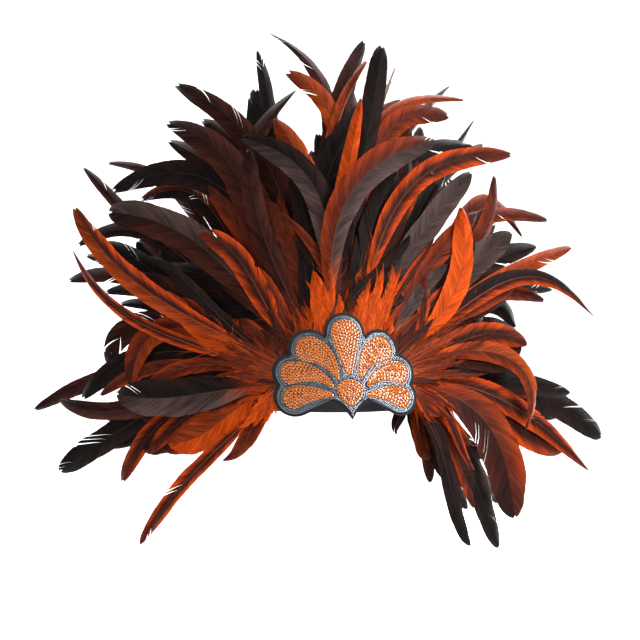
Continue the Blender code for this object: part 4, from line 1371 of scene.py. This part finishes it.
class HEADDRESS_OT_head_band(bpy.types.Operator):
    """Elastic band: a rounded strip carried round an ellipse that leans in with height."""

    bl_idname = "headdress.head_band"
    bl_label = "Head band"

    def execute(self, context):
        """With a round the band and b round the strip, the strip's section is a superellipse."""
        a = np.linspace(0, 2 * math.pi, BAND_STATIONS, endpoint=False)[:, None]
        b = np.linspace(0, 2 * math.pi, BAND_CORNERS, endpoint=False)[None, :]
        out = BAND_WALL / 2 * (1 + np.sign(np.cos(b)) * np.abs(np.cos(b)) ** 0.4)
        height = BAND_HEIGHT / 2 * (1 + np.sign(np.sin(b)) * np.abs(np.sin(b)) ** 0.4)
        reach = out - BAND_LEAN * height
        x = (BAND_INNER_WIDTH / 2 + reach) * np.cos(a)
        y = (BAND_INNER_LENGTH / 2 + reach) * np.sin(a)
        points = np.stack([x, y, np.broadcast_to(height, x.shape)], axis=-1)
        faces = grid_faces(BAND_STATIONS, BAND_CORNERS, round_rows=True)[:, ::-1]
        uv = np.stack([np.broadcast_to(a * 84, x.shape), np.broadcast_to(height * 1000, x.shape)], axis=-1)
        skin = Skin()
        skin.add(points, [faces], np.array(colours().felt) * 1.4, uv)
        settle(skin.build("band", [elastic_material()]), "black_elastic", "head_band")
        return {"FINISHED"}


class HEADDRESS_OT_felt_base(bpy.types.Operator):
    """Curved felt plate behind the rows of feathers."""

    bl_idname = "headdress.felt_base"
    bl_label = "Felt base"

    def execute(self, context):
        skin = Skin()
        core = np.array([0, BASE_RISE * 0.35])
        skin.add(*pad(base_outline(), core, 0, BASE_WALL, colours().felt))
        piece = skin.build("base", [felt_material("base_felt")], fan_centre())
        settle(piece, "black_felt", "felt_base")
        return {"FINISHED"}


class HEADDRESS_OT_plumes(bpy.types.Operator):
    """Thirty plumes of feathers, one for each side of each row."""

    bl_idname = "headdress.plumes"
    bl_label = "Plumes"

    def execute(self, context):
        materials = [
            vane_material(),
            thread_material("shaft", (1, 0.2, 1), 0.7, 1.3, 0.5, 0.06),
            thread_material("down", (2, 1, 1), 0.75, 1.25, 0.7, 0.02),
        ]
        centre = fan_centre()
        for side, rows in PLUMES.items():
            for row, feathers in enumerate(rows, start=1):
                piece = make_plume(side, row, feathers, materials, centre)
                settle(piece, f"{ROW_SLOTS[row - 1]}_feather", f"{side}_plume_{row}")
        return {"FINISHED"}


class HEADDRESS_OT_collar(bpy.types.Operator):
    """Short fluffy feathers and down that stand round the patch."""

    bl_idname = "headdress.collar"
    bl_label = "Down collar"

    def execute(self, context):
        rng = np.random.default_rng(77)
        materials = [bpy.data.materials[name] for name in ("vane", "shaft", "down")]
        skin = Skin()
        index = 0
        for first, last, count, reach, tone in COLLAR:
            for clock in np.linspace(first, last, count):
                clock = clock + rng.uniform(-2, 2)
                aim = clock_direction(clock * 1.04) * (reach + rng.uniform(-0.10, 0.10))
                end, width = clock + rng.uniform(-30, 30), rng.uniform(0.20, 0.44)
                flue = Feather(clock, *aim, end, width, "flue", tone)
                add_feather(skin, COLLAR_ROW, flue, 1 if index % 2 else -1, 7000 + index, COLLAR_LOCK,
                            start=0.03, down=COLLAR_THREADS, reach=sizes().down_length * 1.35)
                index += 1
        piece = skin.build("down_collar", materials, fan_centre())
        settle(piece, "ember_feather")
        return {"FINISHED"}


class HEADDRESS_OT_backing(bpy.types.Operator):
    """Scalloped felt backing of the patch."""

    bl_idname = "headdress.backing"
    bl_label = "Patch backing"

    def execute(self, context):
        skin = Skin()
        skin.add(*pad(patch_outline(), np.array(PATCH_CORE), patch_rear(), BACKING_WALL, colours().felt))
        piece = skin.build("backing", [felt_material("patch_felt")], fan_centre())
        settle(piece, "black_felt", "patch_backing")
        return {"FINISHED"}


class HEADDRESS_OT_trim(bpy.types.Operator):
    """Silver lattice: dark cloth between the petals under rows of small sequins, which start along the
    patch's border and round each petal."""

    bl_idname = "headdress.trim"
    bl_label = "Silver trim"

    def execute(self, context):
        rng = np.random.default_rng(31)
        rear = patch_rear() + BACKING_WALL + CLEARANCE
        width = sizes().bead_width
        skin = Skin()
        edge = inset(patch_outline(), FELT_BORDER)
        skin.add(*pad(edge, np.array(PATCH_CORE), rear, TRIM_WALL * 0.55, TRIM_CLOTH))
        rings = [functools.partial(inset, patch_outline())] + [ring for ring, _ in petal_rings().values()]
        starts = [FELT_BORDER + width * 0.5] + [-width * 0.55] * (len(rings) - 1)
        signs = [1] + [-1] * (len(rings) - 1)
        bounds = [ring(0.0) for ring in rings[1:]]
        places, along = np.zeros((0, 2)), np.zeros((0, 2))
        for layer in range(TRIM_LAYERS):
            for ring, start, sign in zip(rings, starts, signs):
                found, ahead = spaced(ring(start + sign * layer * width * 0.8), width * 0.78, layer * 0.5)
                clear = inside(found, inset(edge, width * 0.4))
                for bound in bounds:
                    clear &= ~inside(found, bound)
                places, along = gather(places, along, found[clear], ahead[clear], width * 0.62)
        add_sequins(skin, places, along, rear + TRIM_WALL * 0.6, width, BEAD_HOLE, BEAD_SIDES, BEAD_TILT,
                    colours().trim, rng)
        materials = [felt_material("trim_cloth"), sequin_material("silver_film", 0.18, 1.0, 0.0)]
        settle(skin.build("trim", materials, fan_centre()), "silver_sequin", "silver_trim")
        return {"FINISHED"}


class HEADDRESS_OT_petals(bpy.types.Operator):
    """Seven petals and the rosette: padded near-black cloth, its dark partly painted shade for the holes
    and gaps, under rings of orange sequins.
    """

    bl_idname = "headdress.petals"
    bl_label = "Petals"

    def execute(self, context):
        rng = np.random.default_rng(53)
        rear = patch_rear() + BACKING_WALL + CLEARANCE
        width, pitch = sizes().sequin_width, sizes().sequin_pitch
        orange = np.array(colours().sequin)
        materials = [felt_material("petal_cloth"), sequin_material("orange_film", 0.30, 0.0, 1.0)]
        for name, (ring, half_width) in petal_rings().items():
            skin = Skin()
            outline = ring(0.0)
            # The cloth is near black: the cloth's and the thread's own dark, plus painted shade where it
            # shows through the holes and between the sequins.
            skin.add(*pad(outline, outline.mean(axis=0), rear, PETAL_WALL, orange * 0.02))
            places, along = np.zeros((0, 2)), np.zeros((0, 2))
            for rows, spacing, apart in SEQUIN_PASSES:
                for row, distance in enumerate(np.arange(width * 0.44, half_width * 1.02, pitch * rows)):
                    found, ahead = spaced(ring(distance), pitch * spacing, 0.5 * (row % 2))
                    places, along = gather(places, along, found, ahead, pitch * apart)
            add_sequins(skin, places, along, rear + PETAL_WALL, width, SEQUIN_HOLE, SEQUIN_SIDES,
                        SEQUIN_TILT, orange, rng)
            piece = skin.build(f"{name}_sequins", materials, fan_centre())
            settle(piece, "orange_sequin", name)
        return {"FINISHED"}


class HEADDRESS_PT_panel(bpy.types.Panel):
    """Sizes, colours and the steps that make the headdress."""

    bl_label = "Feather headdress"
    bl_space_type = "VIEW_3D"
    bl_region_type = "UI"
    bl_category = "Headdress"

    def draw(self, context):
        for group in (context.scene.headdress_sizes, context.scene.headdress_colours):
            for key in group.bl_rna.properties.keys():
                if key not in {"rna_type", "name"}:
                    self.layout.prop(group, key)
        for operator in OPERATORS:
            self.layout.operator(operator.bl_idname)


OPERATORS = (
    HEADDRESS_OT_stage, HEADDRESS_OT_head_band, HEADDRESS_OT_felt_base, HEADDRESS_OT_plumes,
    HEADDRESS_OT_collar, HEADDRESS_OT_backing, HEADDRESS_OT_trim, HEADDRESS_OT_petals,
)
CLASSES = (HeaddressSizes, HeaddressColours) + OPERATORS + (HEADDRESS_PT_panel,)


def register():
    for cls in CLASSES:
        bpy.utils.register_class(cls)
    bpy.types.Scene.headdress_sizes = bpy.props.PointerProperty(type=HeaddressSizes)
    bpy.types.Scene.headdress_colours = bpy.props.PointerProperty(type=HeaddressColours)


def unregister():
    del bpy.types.Scene.headdress_colours
    del bpy.types.Scene.headdress_sizes
    for cls in reversed(CLASSES):
        bpy.utils.unregister_class(cls)


def main():
    register()
    bpy.ops.headdress.stage()
    bpy.ops.headdress.head_band()
    bpy.ops.headdress.felt_base()
    bpy.ops.headdress.plumes()
    bpy.ops.headdress.collar()
    bpy.ops.headdress.backing()
    bpy.ops.headdress.trim()
    bpy.ops.headdress.petals()


if __name__ == "__main__":
    main()
